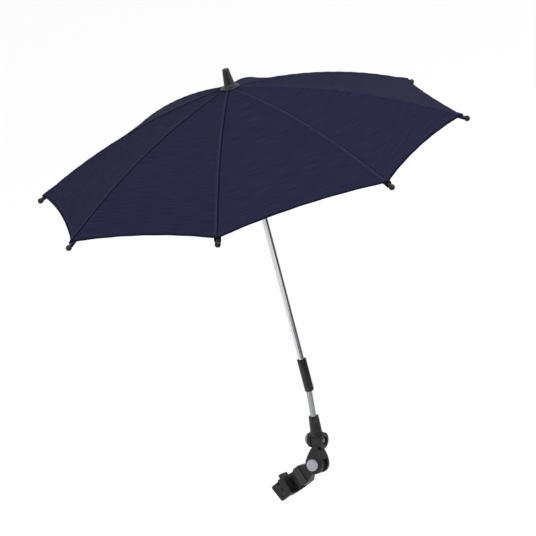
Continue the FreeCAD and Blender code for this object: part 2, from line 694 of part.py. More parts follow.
def make_socket():
    top = -SOCKET_TOP
    cone = turned(
        [
            (0, -UPPER_JOINT),
            (SOCKET_FOOT_RADIUS, -UPPER_JOINT),
            (SOCKET_TOP_RADIUS, top),
            (0, top),
        ]
    )
    fork_place = FreeCAD.Placement(Z_AXIS * -UPPER_JOINT, fork_turn())
    body = cone.fuse(placed(make_ears(UPPER_EAR_RADIUS), fork_place)).removeSplitter()
    body = body.makeFillet(SOCKET_BLEND, [edge for edge in body.Edges if is_socket_joint(edge)])
    for tool in ear_cuts():
        body = body.cut(placed(tool, fork_place))
    bore = cylinder(TUBE_RADIUS, Z_AXIS * (top + OVERRUN), Z_AXIS * -(SOCKET_TOP + SOCKET_DEPTH))
    height = -(SOCKET_TOP + SCREW_BELOW_TOP)
    middle = FreeCAD.Vector(0, 0, height)
    well = cylinder(SCREW_HEAD_RADIUS, middle - Y_AXIS * SOCKET_TOP_RADIUS, middle - Y_AXIS * EAR_OUTSIDE)
    well.rotate(ORIGIN, Z_AXIS, SCREW_TURN)
    return body.cut(bore).cut(socket_screw_shape()).cut(well)


def is_socket_joint(edge):
    """Whether an edge is where the socket's cone runs into its ears."""
    box = edge.BoundBox
    return box.ZMin > -UPPER_JOINT and box.ZMax < -SOCKET_TOP - SOCKET_TOP_RADIUS


def fork_turn():
    """Turns a fork's own frame so that its joint lies along -X and its ears hang down."""
    return FreeCAD.Rotation(-Z_AXIS, -Y_AXIS, -X_AXIS, "XYZ")


# Elbow link
def link_front():
    """The link from the front: a round end about the lower joint, and straight sides up to its top."""
    top = link_top()
    joint = Z_AXIS * -JOINT_SPACING
    half_top = LINK_TOP_WIDTH / 2
    rise = top + JOINT_SPACING
    touch = math.atan2(half_top, rise) + math.acos(LOWER_EAR_RADIUS / math.hypot(half_top, rise))
    right = joint + FreeCAD.Vector(math.sin(touch), 0, math.cos(touch)) * LOWER_EAR_RADIUS
    left = FreeCAD.Vector(-right.x, 0, right.z)
    top_right = FreeCAD.Vector(half_top, 0, top)
    top_left = FreeCAD.Vector(-half_top, 0, top)
    sides = [(right, top_right), (top_right, top_left), (top_left, left)]
    edges = [Part.makeLine(start, end) for start, end in sides]
    edges.append(Part.Arc(left, joint - Z_AXIS * LOWER_EAR_RADIUS, right).toShape())
    outline = Part.Face(Part.Wire(edges))
    outline.translate(Y_AXIS * -EAR_OUTSIDE)
    return outline.extrude(Y_AXIS * 2 * EAR_OUTSIDE)


def link_side():
    """The link from the side: as deep as its ears, and tapered above them."""
    shoulder = -(JOINT_SPACING - FORK_GAP_RADIUS)
    foot = -(JOINT_SPACING + LOWER_EAR_RADIUS)
    corners = []
    for side in (1, -1):
        spots = [(LINK_TOP_WIDTH / 2, link_top()), (EAR_OUTSIDE, shoulder), (EAR_OUTSIDE, foot)]
        for depth, height in spots[::side]:
            corners.append(FreeCAD.Vector(-LOWER_EAR_RADIUS, side * depth, height))
    outline = Part.Face(Part.makePolygon(corners + corners[:1]))
    return outline.extrude(X_AXIS * 2 * LOWER_EAR_RADIUS)


def link_top():
    """The height of the link's body below the upper joint."""
    return -(UPPER_EAR_RADIUS + SIDE_GAP + SWING_GAP)


def is_link_rim(edge):
    """Whether an edge runs round the link's front or back."""
    box = edge.BoundBox
    return box.YMin * box.YMax > 0 and box.ZLength > LINK_ROUND


def is_link_shoulder(edge):
    """Whether an edge is where the link's taper meets the faces of its ears."""
    box = edge.BoundBox
    return max(box.YLength, box.ZLength) < LINK_ROUND and box.ZMax < link_top() - LINK_ROUND


def make_elbow_link():
    body = link_front().common(link_side())
    body = body.makeFillet(LINK_SHOULDER_ROUND, [edge for edge in body.Edges if is_link_shoulder(edge)])
    body = body.makeFillet(LINK_ROUND, [edge for edge in body.Edges if is_link_rim(edge)])
    knuckle = swung_plate(KNUCKLE_RADIUS, NECK_WIDTH / 2, SWING_GAP - link_top(), KNUCKLE_WIDTH)
    knuckle = placed(knuckle, FreeCAD.Placement(ORIGIN, fork_turn()))
    bolt_hole = BOLT_RADIUS + RUNNING_GAP
    knuckle = knuckle.cut(cylinder(bolt_hole, X_AXIS * -EAR_OUTSIDE, X_AXIS * EAR_OUTSIDE))
    fork_axes = FreeCAD.Rotation(-Z_AXIS, X_AXIS, -Y_AXIS, "XYZ")
    fork_place = FreeCAD.Placement(Z_AXIS * -JOINT_SPACING, fork_axes)
    for tool in ear_cuts():
        body = body.cut(placed(tool, fork_place))
    return body.fuse(knuckle).removeSplitter()


# Clamp
def clamp_start():
    """How far the clamp's arm starts from the lower joint."""
    return LOWER_EAR_RADIUS + CLAMP_START_GAP


def clamp_hook():
    """The clamp's hooked section, with its throat open, across the whole width."""
    outer = THROAT_RADIUS + LINER_THICK
    jaw = THROAT_REACH + outer
    finish = jaw + OUTER_JAW_THICK
    inner = THROAT_REACH - outer
    front = INNER_JAW_LIP - LINER_THICK
    waist = -KNUCKLE_WIDTH / 2
    spots = [
        (clamp_start(), waist),
        (clamp_start(), front),
        (inner, front),
        (inner, 0),
        (jaw, 0),
        (jaw, OUTER_JAW_LIP),
        (finish, OUTER_JAW_LIP),
        (finish, -JAW_FOOT_DROP),
    ]
    points = [FreeCAD.Vector(x, -CLAMP_WIDTH / 2, z) for x, z in spots]
    bottom = FreeCAD.Vector(THROAT_REACH, -CLAMP_WIDTH / 2, -outer)
    back = FreeCAD.Vector(THROAT_REACH, -CLAMP_WIDTH / 2, -(outer + SPINE_THICK))
    edges = [Part.makeLine(points[place], points[place + 1]) for place in (0, 1, 2, 4, 5, 6)]
    edges.insert(3, Part.Arc(points[3], bottom, points[4]).toShape())
    edges.append(Part.Arc(points[7], back, points[0]).toShape())
    return Part.Face(Part.Wire(edges)).extrude(Y_AXIS * CLAMP_WIDTH)


def clamp_plan():
    """The clamp's outline from the front, tall enough to trim the hook: a neck that widens to the jaws."""
    depth = CLAMP_WIDTH + THROAT_REACH
    finish = THROAT_REACH + THROAT_RADIUS + LINER_THICK + OUTER_JAW_THICK
    sides = [
        (clamp_start(), CLAMP_NECK_WIDTH / 2),
        (liner_start(), CLAMP_WIDTH / 2),
        (finish, CLAMP_WIDTH / 2),
    ]
    corners = [FreeCAD.Vector(x, y, -depth) for x, y in sides]
    corners += [FreeCAD.Vector(spot.x, -spot.y, spot.z) for spot in reversed(corners)]
    return Part.Face(Part.makePolygon(corners + corners[:1])).extrude(Z_AXIS * 2 * depth)


def make_clamp_body():
    throat = X_AXIS * THROAT_REACH
    outer = THROAT_RADIUS + LINER_THICK
    jaw = THROAT_REACH + outer
    finish = jaw + OUTER_JAW_THICK
    half = CLAMP_WIDTH / 2
    body = clamp_hook().common(clamp_plan())
    body = body.makeFillet(CLAMP_ROUND, [edge for edge in body.Edges if is_clamp_rim(edge)])
    nose_low = FreeCAD.Vector(jaw, -half - JAW_NOSE, -outer)
    nose = block(nose_low, FreeCAD.Vector(jaw + JAW_NOSE_THICK, 0, INNER_JAW_LIP))
    nose = nose.makeFillet(CLAMP_ROUND, nose.Edges)
    knuckle = swung_plate(KNUCKLE_RADIUS, NECK_WIDTH / 2, clamp_start() + CLAMP_ROUND, KNUCKLE_WIDTH)
    body = joined([body, nose, knuckle])
    hole_radius = BOLT_RADIUS + RUNNING_GAP
    body = body.cut(cylinder(hole_radius, Z_AXIS * -EAR_OUTSIDE, Z_AXIS * EAR_OUTSIDE))
    pocket_radius = PAD_RADIUS + SIDE_GAP
    pocket = cylinder(pocket_radius, X_AXIS * THROAT_REACH, X_AXIS * pad_pocket_floor())
    body = body.cut(pocket)
    screw_hole = SPINDLE_RADIUS + RUNNING_GAP
    return body.cut(cylinder(screw_hole, throat, X_AXIS * (finish + OVERRUN)))


def is_clamp_rim(edge):
    """Whether an edge is an outer one of the clamp: along one of its sides, or round the outer jaw's end."""
    box = edge.BoundBox
    reach = THROAT_RADIUS + LINER_THICK + CLAMP_ROUND
    in_throat = box.XMin > THROAT_REACH - reach and box.XMax < THROAT_REACH + reach
    along_side = box.YLength < CLAMP_WIDTH / 2 and not in_throat
    return along_side or box.ZMin > INNER_JAW_LIP


def liner_start():
    """How far the liner's fold over the inner jaw starts from the lower joint."""
    return THROAT_REACH - THROAT_RADIUS - LINER_THICK - LINER_FOLD


def pad_face():
    """How far the pad's gripping face is from the lower joint, with the screw at rest."""
    return THROAT_REACH + THROAT_RADIUS + PAD_CLEAR


def pad_pocket_floor():
    return pad_face() + PAD_THICK + PAD_TRAVEL + SIDE_GAP


def make_jaw_liner():
    throat = X_AXIS * THROAT_REACH
    half = CLAMP_WIDTH / 2 - CLAMP_ROUND
    outer = THROAT_RADIUS + LINER_THICK
    low = throat - Y_AXIS * half
    ring = Part.makeCylinder(outer, 2 * half, low, Y_AXIS, LINER_ANGLE)
    ring = ring.cut(Part.makeCylinder(THROAT_RADIUS, 2 * half, low, Y_AXIS))
    ring.rotate(throat, Y_AXIS, 180 - LINER_ANGLE - first_angle(ring, throat))
    lip_low = FreeCAD.Vector(THROAT_REACH - outer, -half, 0)
    lip_high = FreeCAD.Vector(THROAT_REACH - THROAT_RADIUS, half, INNER_JAW_LIP)
    fold_low = FreeCAD.Vector(liner_start(), -half, INNER_JAW_LIP - LINER_THICK)
    liner = joined([ring, block(lip_low, lip_high), block(fold_low, lip_high)])
    corner = [edge for edge in liner.Edges if is_liner_corner(edge)]
    return liner.makeFillet(LINER_ROUND, corner)


def is_liner_corner(edge):
    """Whether an edge is the long one where the liner folds over the inner jaw."""
    box = edge.BoundBox
    is_long = box.YLength > CLAMP_WIDTH / 2
    return is_long and box.ZMin > INNER_JAW_LIP - LINER_ROUND and box.XMin > liner_start() + LINER_ROUND


def first_angle(ring, throat):
    """The turn about -Y at which a part ring starts, in degrees from +X."""
    angles = []
    for vertex in ring.Vertexes:
        spot = vertex.Point - throat
        angles.append(math.degrees(math.atan2(-spot.z, spot.x)))
    return min(angles)


def make_pressure_pad():
    face = X_AXIS * pad_face()
    back = X_AXIS * (pad_face() + PAD_THICK)
    pad = cylinder(PAD_RADIUS, face, back)
    socket = cylinder(SPINDLE_NOSE_RADIUS + RUNNING_GAP, back - X_AXIS * SPINDLE_NOSE_LENGTH, back)
    return pad.cut(socket)


def knob_base():
    return THROAT_REACH + THROAT_RADIUS + LINER_THICK + OUTER_JAW_THICK + KNOB_GAP


def make_spindle():
    back = pad_face() + PAD_THICK
    nose_start = X_AXIS * (back - SPINDLE_NOSE_LENGTH + RUNNING_GAP)
    shoulder = X_AXIS * (back + RUNNING_GAP)
    nose = cylinder(SPINDLE_NOSE_RADIUS, nose_start, shoulder)
    shank = cylinder(SPINDLE_RADIUS, shoulder, X_AXIS * (knob_base() + KNOB_BORE_DEPTH))
    return nose.fuse(shank).removeSplitter()


def make_wing_knob():
    base = knob_base()
    hub = cylinder(KNOB_HUB_RADIUS, X_AXIS * base, X_AXIS * (base + KNOB_HUB_LENGTH))
    end = base + KNOB_LENGTH
    half = KNOB_WIDTH / 2
    low = FreeCAD.Vector(base + KNOB_ROUND, -half, -KNOB_THICK / 2)
    wing = block(low, FreeCAD.Vector(end, half, KNOB_THICK / 2))
    corners = [edge for edge in wing.Edges if edge.BoundBox.ZLength > KNOB_THICK / 2]
    wing = wing.makeFillet(KNOB_CORNER, [edge for edge in corners if edge.BoundBox.XMin > end - KNOB_ROUND])
    rims = [edge for edge in wing.Edges if edge.BoundBox.ZLength < KNOB_ROUND]
    wing = wing.makeFillet(KNOB_ROUND, rims)
    bore = cylinder(SPINDLE_RADIUS, X_AXIS * (base - OVERRUN), X_AXIS * (base + KNOB_BORE_DEPTH))
    knob = hub.fuse(wing).removeSplitter().cut(bore)
    knob.rotate(ORIGIN, X_AXIS, KNOB_TURN)
    return knob


# Every node, in the order in which it is put together
def make_nodes():
    nodes = {
        "clamp_body": placed(make_clamp_body(), CLAMP),
        "jaw_liner": placed(make_jaw_liner(), CLAMP),
        "pressure_pad": placed(make_pressure_pad(), CLAMP),
        "clamp_spindle": placed(make_spindle(), CLAMP),
        "wing_knob": placed(make_wing_knob(), CLAMP),
        "elbow_link": placed(make_elbow_link(), LINK),
        "lower_pivot_bolt": placed(make_bolt(), LOWER_BOLT),
        "lower_release_button": placed(make_button(), LOWER_BOLT),
        "lower_button_spring": placed(make_button_spring(), LOWER_BOLT),
        "shaft_socket": placed(make_socket(), SOCKET),
        "socket_screw": placed(socket_screw_shape(), SOCKET),
        "upper_pivot_bolt": placed(make_bolt(), UPPER_BOLT),
        "upper_release_button": placed(make_button(), UPPER_BOLT),
        "upper_button_spring": placed(make_button_spring(), UPPER_BOLT),
        "lower_tube": placed(make_lower_tube(), SOCKET),
        "tilt_fork": placed(make_tilt_fork(), LOWER),
        "tilt_pin": make_tilt_pin(),
        "tilt_tongue": make_tilt_tongue(),
        "locking_sleeve": make_locking_sleeve(),
        "upper_tube": make_upper_tube(),
        "runner": make_runner(),
        "runner_stop_ring": make_stop_ring(),
        "ferrule": make_ferrule(),
        "canopy": make_canopy(),
    }
    wire = make_hinge_wire()
    nodes["crown_hinge_wire"] = wire
    nodes["crown_hub"] = make_crown_hub(wire)
    patterns = {"rib": make_rib(), "rib_tip": make_rib_tip(), "stretcher": make_stretcher()}
    for name, shape in patterns.items():
        for count, copy in enumerate(round_the_crown(shape), 1):
            nodes[f"{name}_{count}"] = copy
    for shape in nodes.values():
        shape.translate(-THROAT)
    return nodes


def main():
    os.makedirs("parts", exist_ok=True)
    for name, shape in make_nodes().items():
        shape.exportStep(f"parts/{name}.step")


main()
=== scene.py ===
import json
import math

import bpy
import numpy as np
from mathutils import Matrix, Vector


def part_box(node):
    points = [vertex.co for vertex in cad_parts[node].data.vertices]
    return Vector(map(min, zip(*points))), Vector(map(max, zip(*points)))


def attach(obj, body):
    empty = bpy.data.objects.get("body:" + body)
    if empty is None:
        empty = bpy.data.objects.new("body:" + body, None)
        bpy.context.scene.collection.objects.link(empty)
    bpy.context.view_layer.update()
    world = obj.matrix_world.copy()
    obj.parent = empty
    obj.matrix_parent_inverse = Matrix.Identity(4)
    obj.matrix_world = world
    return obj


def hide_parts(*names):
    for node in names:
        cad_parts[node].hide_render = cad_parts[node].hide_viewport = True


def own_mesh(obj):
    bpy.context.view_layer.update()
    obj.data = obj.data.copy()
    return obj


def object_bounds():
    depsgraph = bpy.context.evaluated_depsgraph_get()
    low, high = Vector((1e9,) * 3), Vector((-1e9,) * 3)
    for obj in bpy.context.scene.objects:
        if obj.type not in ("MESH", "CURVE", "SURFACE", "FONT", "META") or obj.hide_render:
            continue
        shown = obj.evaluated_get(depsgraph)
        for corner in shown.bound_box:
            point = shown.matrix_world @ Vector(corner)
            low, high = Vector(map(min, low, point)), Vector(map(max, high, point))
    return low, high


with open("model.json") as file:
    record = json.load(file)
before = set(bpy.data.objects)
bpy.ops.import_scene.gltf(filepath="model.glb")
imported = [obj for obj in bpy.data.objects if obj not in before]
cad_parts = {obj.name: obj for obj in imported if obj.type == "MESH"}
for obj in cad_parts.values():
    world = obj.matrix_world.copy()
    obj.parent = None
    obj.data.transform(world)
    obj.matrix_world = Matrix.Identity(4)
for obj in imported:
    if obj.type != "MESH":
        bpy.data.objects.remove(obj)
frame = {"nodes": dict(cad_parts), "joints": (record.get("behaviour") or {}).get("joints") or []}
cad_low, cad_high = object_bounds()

# Clamp: one hooked body with the lower knuckle, which grips the pushchair's tube.
# It is injection-moulded in black glass-filled nylon, in a mould with a spark-eroded grain.
MM = 0.001
GRAIN_LOW, GRAIN_HIGH = 0.3, 0.7  # most of a noise pattern's values lie between these
GRAIN_DETAIL = 3.0


def linear(code):
    """A hex sRGB colour as linear RGBA."""
    shades = [int(code[place:place + 2], 16) / 255 for place in (1, 3, 5)]
    values = [s / 12.92 if s <= 0.04045 else ((s + 0.055) / 1.055) ** 2.4 for s in shades]
    return (*values, 1.0)


def add_node(tree, kind, inputs=None, **settings):
    """One node with its settings; each input is a value, or the socket that feeds it.

    A colour Mix node's sockets share their names, so they go by number: its share is input 0,
    its two colours are inputs 6 and 7, and the mixed colour is output 2."""
    node = tree.nodes.new(kind)
    for name, value in settings.items():
        setattr(node, name, value)
    for name, value in (inputs or {}).items():
        if isinstance(value, bpy.types.NodeSocket):
            tree.links.new(value, node.inputs[name])
        else:
            node.inputs[name].default_value = value
    return node


def start_material(name, **values):
    """A new material, its node tree and its main shader, with constants on its own sockets."""
    material = bpy.data.materials.new(name)
    material.use_nodes = True
    shader = material.node_tree.nodes["Principled BSDF"]
    for socket, value in values.items():
        shader.inputs[socket.replace("_", " ")].default_value = value
    return material, material.node_tree, shader


def grained(
    name, dark, light, grain_mm, rough, relief_mm, stretch=(1, 1, 1), turn=(0, 0, 0), **values
):
    """A surface whose colour, dullness and relief follow one grain of a given size.

    Real grains are a tenth of a millimetre or less; they are drawn coarser, so that they show."""
    material, tree, shader = start_material(name, **values)
    place = add_node(tree, "ShaderNodeTexCoord").outputs["Object"]
    scale = [1 / (grain_mm * MM * part) for part in stretch]
    mapping = {"Vector": place, "Rotation": turn, "Scale": scale}
    place = add_node(tree, "ShaderNodeMapping", mapping).outputs["Vector"]
    noise = {"Vector": place, "Scale": 1.0, "Detail": GRAIN_DETAIL}
    grain = add_node(tree, "ShaderNodeTexNoise", noise).outputs["Fac"]
    limits = {"Value": grain, "From Min": GRAIN_LOW, "From Max": GRAIN_HIGH}
    share = add_node(tree, "ShaderNodeMapRange", limits).outputs["Result"]
    shades = {0: share, 6: linear(dark), 7: linear(light)}
    colour = add_node(tree, "ShaderNodeMix", shades, data_type="RGBA").outputs[2]
    limits.update({"To Min": rough[0], "To Max": rough[1]})
    dull = add_node(tree, "ShaderNodeMapRange", limits).outputs["Result"]
    relief = {"Height": grain, "Distance": relief_mm * MM}
    bump = add_node(tree, "ShaderNodeBump", relief).outputs["Normal"]
    for socket, source in (("Base Color", colour), ("Roughness", dull), ("Normal", bump)):
        tree.links.new(source, shader.inputs[socket])
    return material


def dress(material, *names):
    """Gives CAD nodes, whose shape is right as it is, their finish."""
    for name in names:
        node = frame["nodes"][name]
        if not node.material_slots:
            node.data.materials.append(material)
        for slot in node.material_slots:
            slot.material = material


# Glass-filled nylon: near black and evenly dull, with a fine grain that breaks up its highlights.
moulded_nylon = grained(
    "moulded_glass_filled_nylon", dark="#0b0b0c", light="#161617", grain_mm=0.7,
    rough=(0.42, 0.56), relief_mm=0.02, Specular_IOR_Level=0.4,
)
dress(moulded_nylon, "clamp_body")

# Jaw liner and pressure pad: soft grips that touch the pushchair's tube.
# The grey liner is pressed into the throat and folded over the inner jaw.
# The black pad sits on the spindle's nose.
RUBBER_GRAIN = 0.5

# Thermoplastic rubber: dark grey, with hardly a highlight.
liner_rubber = grained(
    "grey_thermoplastic_rubber", dark="#2a2a2c", light="#363638", grain_mm=RUBBER_GRAIN,
    rough=(0.6, 0.75), relief_mm=0.02, Specular_IOR_Level=0.3,
)
# Vulcanised rubber: black, and duller still.
pad_rubber = grained(
    "black_rubber", dark="#0c0c0c", light="#171717", grain_mm=RUBBER_GRAIN,
    rough=(0.7, 0.85), relief_mm=0.03, Specular_IOR_Level=0.3,
)
dress(liner_rubber, "jaw_liner")
dress(pad_rubber, "pressure_pad")

# Spindle and wing knob: a screw of zinc-plated steel in a flat nylon wing.
# The wing is moulded round the end of the spindle.
ZINC_SPANGLE = 1.6

# Zinc plate: a pale, bright metal, slightly mottled, with soft reflections.
zinc_plate = grained(
    "zinc_plated_steel", dark="#a3a6a8", light="#c4c6c8", grain_mm=ZINC_SPANGLE,
    rough=(0.22, 0.36), relief_mm=0.004, Metallic=1.0,
)
dress(zinc_plate, "clamp_spindle")
dress(moulded_nylon, "wing_knob")

# Elbow link and shaft socket: the two nylon mouldings that turn on the clamp.
# Zinc-plated bolts hold their joints, and a blackened screw holds the tube in the socket.

# Blackened steel: dark grey, with a low sheen.
blacked_steel = grained(
    "blackened_steel_screw", dark="#1a1a1b", light="#2b2b2c", grain_mm=ZINC_SPANGLE,
    rough=(0.35, 0.5), relief_mm=0.004,
)
# Zinc plate dulled by handling: a mid-grey metal, whose reflections are blurred.
dulled_zinc = grained(
    "dulled_zinc_bolt", dark="#5d5f60", light="#7c7e7f", grain_mm=ZINC_SPANGLE,
    rough=(0.3, 0.45), relief_mm=0.004, Metallic=1.0,
)
dress(moulded_nylon, "elbow_link", "shaft_socket")
dress(dulled_zinc, "lower_pivot_bolt", "upper_pivot_bolt")
dress(blacked_steel, "socket_screw")

# Release buttons: light grey acetal caps, each with a shallow dish for the thumb.
# They are moulded hollow, and a coil of steel wire under each one pushes it out.
BUTTON_ROUND = 1.6
BUTTON_WALL = 3.4
BUTTON_TOP = 2.4
BUTTON_STEPS = 72
DISH_RADIUS = 7.0
DISH_DEPTH = 0.7
DISH_EYE = 2  # degrees of the dish's arc that its flat middle takes up
SPRING_TURNS = 5
SPRING_WIRE = 0.45
SPRING_STEPS = 24
WIRE_SIDES = 8
SHARP_EDGE = math.radians(40)


def ends_along(name, axis):
    """The two ends of a round CAD node on its own axis, and its radius, all in millimetres."""
    node = frame["nodes"][name]
    spots = np.array([node.matrix_world @ vertex.co for vertex in node.data.vertices]) / MM
    axis = Vector(axis).normalized()
    side = axis.orthogonal().normalized()
    middle = Vector()
    for way in (side, axis.cross(side)):
        reach = spots @ np.array(way)
        middle += way * (reach.max() + reach.min()) / 2
        radius = (reach.max() - reach.min()) / 2
    heights = spots @ np.array(axis)
    return middle + axis * heights.min(), middle + axis * heights.max(), radius


def bow(middle, radius, start, end, steps=6):
    """Points of an arc in an outline, from one angle to another in degrees."""
    angles = [math.radians(start + (end - start) * step / steps) for step in range(steps + 1)]
    return [(middle[0] + radius * math.cos(a), middle[1] + radius * math.sin(a)) for a in angles]


def new_piece(name, spots, faces, material):
    """A smooth mesh object from points in millimetres."""
    mesh = bpy.data.meshes.new(name)
    mesh.from_pydata([Vector(spot) * MM for spot in spots], [], faces)
    mesh.materials.append(material)
    mesh.shade_smooth()
    mesh.set_sharp_from_angle(angle=SHARP_EDGE)
    piece = bpy.data.objects.new(name, mesh)
    bpy.context.scene.collection.objects.link(piece)
    return piece


def ring_spots(outline, base, axis, steps):
    """Points on circles about an axis, one circle for each (radius, height) of an outline."""
    turn = Vector(axis).to_track_quat("Z", "Y").to_matrix()
    angles = [2 * math.pi * step / steps for step in range(steps)]
    spots = []
    for radius, height in outline:
        circle = [(radius * math.cos(a), radius * math.sin(a), height) for a in angles]
        spots += [base + turn @ Vector(spot) for spot in circle]
    return spots


def ring_faces(low, high, steps):
    """Faces between two circles, given the numbers of their first points."""
    pairs = [(step, (step + 1) % steps) for step in range(steps)]
    return [(low + step, low + after, high + after, high + step) for step, after in pairs]


def closed_faces(rings, steps):
    """Faces along a row of circles, with flat faces that close both ends."""
    faces = [list(range(steps))[::-1], list(range((rings - 1) * steps, rings * steps))]
    for ring in range(rings - 1):
        faces += ring_faces(ring * steps, (ring + 1) * steps, steps)
    return faces


def turned_piece(name, outline, base, axis, steps, material):
    """A solid piece turned about an axis from (radius, height) points."""
    spots = ring_spots(outline, base, axis, steps)
    return new_piece(name, spots, closed_faces(len(outline), steps), material)


def coiled_piece(name, base, axis, radius, length, material):
    """A spring of round wire; its radius and length are those of the wire's middle."""
    spots = []
    rings = SPRING_TURNS * SPRING_STEPS + 1
    last_side = WIRE_SIDES - 1
    section = bow((radius, 0), SPRING_WIRE, 0, -360 * last_side / WIRE_SIDES, last_side)
    for ring in range(rings):
        turn = Matrix.Rotation(2 * math.pi * ring / SPRING_STEPS, 3, "Z")
        rise = Vector((0, 0, length * ring / (rings - 1)))
        spots += [turn @ Vector((reach, 0, height)) + rise for reach, height in section]
    turn = Vector(axis).to_track_quat("Z", "Y").to_matrix()
    spots = [base + turn @ spot for spot in spots]
    return new_piece(name, spots, closed_faces(rings, len(section)), material)


def stands_for(piece, body, slot, *nodes):
    """The piece moves with a body and is shown instead of CAD nodes. The slot is not used."""
    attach(piece, body)
    if nodes:
        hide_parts(*nodes)


def joint_axis(name):
    """The way along which, or about which, a joint moves."""
    return Vector(next(joint for joint in frame["joints"] if joint["name"] == name)["axis"])


# Acetal: smooth, light grey and faintly clouded, with a soft highlight.
grey_acetal = grained(
    "grey_acetal", dark="#928f99", light="#a2a0a9", grain_mm=3.0,
    rough=(0.34, 0.44), relief_mm=0.006,
)
# Drawn spring steel: bare grey wire with small, bright reflections.
spring_steel = grained(
    "spring_steel", dark="#6d6f70", light="#8c8e8f", grain_mm=1.0,
    rough=(0.3, 0.4), relief_mm=0.004, Metallic=1.0,
)
for place, holder in (("lower", "link"), ("upper", "socket")):
    way = -joint_axis(f"{place}_button_press")
    base, top, radius = ends_along(f"{place}_release_button", way)
    height = (top - base).length
    under = height - BUTTON_TOP
    hollow = radius - BUTTON_WALL
    dish_curve = (DISH_RADIUS**2 + DISH_DEPTH**2) / (2 * DISH_DEPTH)
    dish_half = math.degrees(math.asin(DISH_RADIUS / dish_curve))
    dish_middle = (0, height + dish_curve - DISH_DEPTH)
    outline = [(hollow / 2, under), (hollow, under), (hollow, 0), (radius, 0)]
    outline += bow((radius - BUTTON_ROUND, height - BUTTON_ROUND), BUTTON_ROUND, 0, 90)
    outline += bow(dish_middle, dish_curve, dish_half - 90, DISH_EYE - 90)
    button = turned_piece(f"{place}_button_cap", outline, base, way, BUTTON_STEPS, grey_acetal)
    stands_for(button, f"{place}_button", "grey_plastic", f"{place}_release_button")
    base, top, radius = ends_along(f"{place}_button_spring", way)
    length = (top - base).length
    coil = coiled_piece(
        f"{place}_button_coil", base + way * SPRING_WIRE, way,
        radius - SPRING_WIRE, length - 2 * SPRING_WIRE, spring_steel,
    )
    stands_for(coil, holder, "spring_steel", f"{place}_button_spring")
    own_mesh(coil)

# Tubes and tilt joint: bright drawn tubes, joined by a fork, a tongue and a pin.
# The upper tube is chromed steel; the lower one, which leans a little, is bare aluminium.
DRAW_LINE = 0.5
DRAW_STRETCH = (1, 1, 160)
LOWER_LEAN = math.radians(4.7)

# Chrome on drawn tube: nearly a mirror, with faint lines along it.
chrome = grained(
    "chromed_steel_tube", dark="#c3c6ca", light="#d9dbde", grain_mm=DRAW_LINE,
    rough=(0.1, 0.2), relief_mm=0.002, stretch=DRAW_STRETCH, Metallic=1.0,
)
# Drawn aluminium: greyer than chrome, with blurred reflections and clearer lines.
aluminium = grained(
    "drawn_aluminium_tube", dark="#969a9a", light="#abafaf", grain_mm=DRAW_LINE,
    rough=(0.24, 0.36), relief_mm=0.004, stretch=DRAW_STRETCH, turn=(0, -LOWER_LEAN, 0),
    Metallic=1.0,
)
dress(chrome, "upper_tube")
dress(aluminium, "lower_tube", "tilt_fork", "tilt_tongue")
dress(zinc_plate, "tilt_pin")

# Locking sleeve: a plain black tube of acetal that slides over the tilt joint.
# It ends in a thin open collar above, with a fine line under it, and is rounded below.
SLEEVE_BORE = 6.8
SLEEVE_COLLAR_DEPTH = 2.5
SLEEVE_COLLAR_BORE = 6.9
SLEEVE_GUIDE = 5.1
SLEEVE_LINE_DROP = 5.0
SLEEVE_LINE = 0.35
SLEEVE_TOP_ROUND = 0.4
SLEEVE_END_ROUND = 0.9
SLEEVE_STEPS = 64
ACETAL_FLOW = 2.0


def hollow_piece(name, outline, base, axis, steps, material):
    """A hollow piece turned about an axis from a closed outline of (radius, height) points."""
    faces = []
    for ring in range(len(outline)):
        faces += ring_faces(ring * steps, (ring + 1) % len(outline) * steps, steps)
    return new_piece(name, ring_spots(outline, base, axis, steps), faces, material)


# Smooth acetal: black, with a clear but soft highlight.
gloss_black = grained(
    "smooth_black_acetal", dark="#0b0b0c", light="#131314", grain_mm=ACETAL_FLOW,
    rough=(0.28, 0.38), relief_mm=0.006, Specular_IOR_Level=0.4,
)
base, top, radius = ends_along("locking_sleeve", (0, 0, 1))
height = (top - base).length
line = height - SLEEVE_LINE_DROP
collar = height - SLEEVE_COLLAR_DEPTH
guide = line - SLEEVE_LINE_DROP
outline = [(SLEEVE_BORE, 0)]
outline += bow((radius - SLEEVE_END_ROUND, SLEEVE_END_ROUND), SLEEVE_END_ROUND, -90, 0)
outline += [(radius, line - SLEEVE_LINE), (radius - SLEEVE_LINE, line)]
outline += [(radius, line + SLEEVE_LINE)]
outline += bow((radius - SLEEVE_TOP_ROUND, height - SLEEVE_TOP_ROUND), SLEEVE_TOP_ROUND, 0, 90)
outline += [(SLEEVE_COLLAR_BORE, height), (SLEEVE_COLLAR_BORE, collar)]
outline += [(SLEEVE_GUIDE, collar), (SLEEVE_GUIDE, guide), (SLEEVE_BORE, guide)]
sleeve = hollow_piece("sleeve_tube", outline, base, (0, 0, 1), SLEEVE_STEPS, gloss_black)
stands_for(sleeve, "sleeve", "black_nylon", "locking_sleeve")

# Runner, crown hub, ribs and stretchers: the folding frame under the cloth.
# Hub, runner and ball tips are moulded acetal; ribs and stretchers are enamelled steel rod.
RIB_COUNT = 8
RIB_STEP = 2 * math.pi / RIB_COUNT
HALF_STEP = RIB_STEP / 2
FIRST_RIB = math.radians(10)

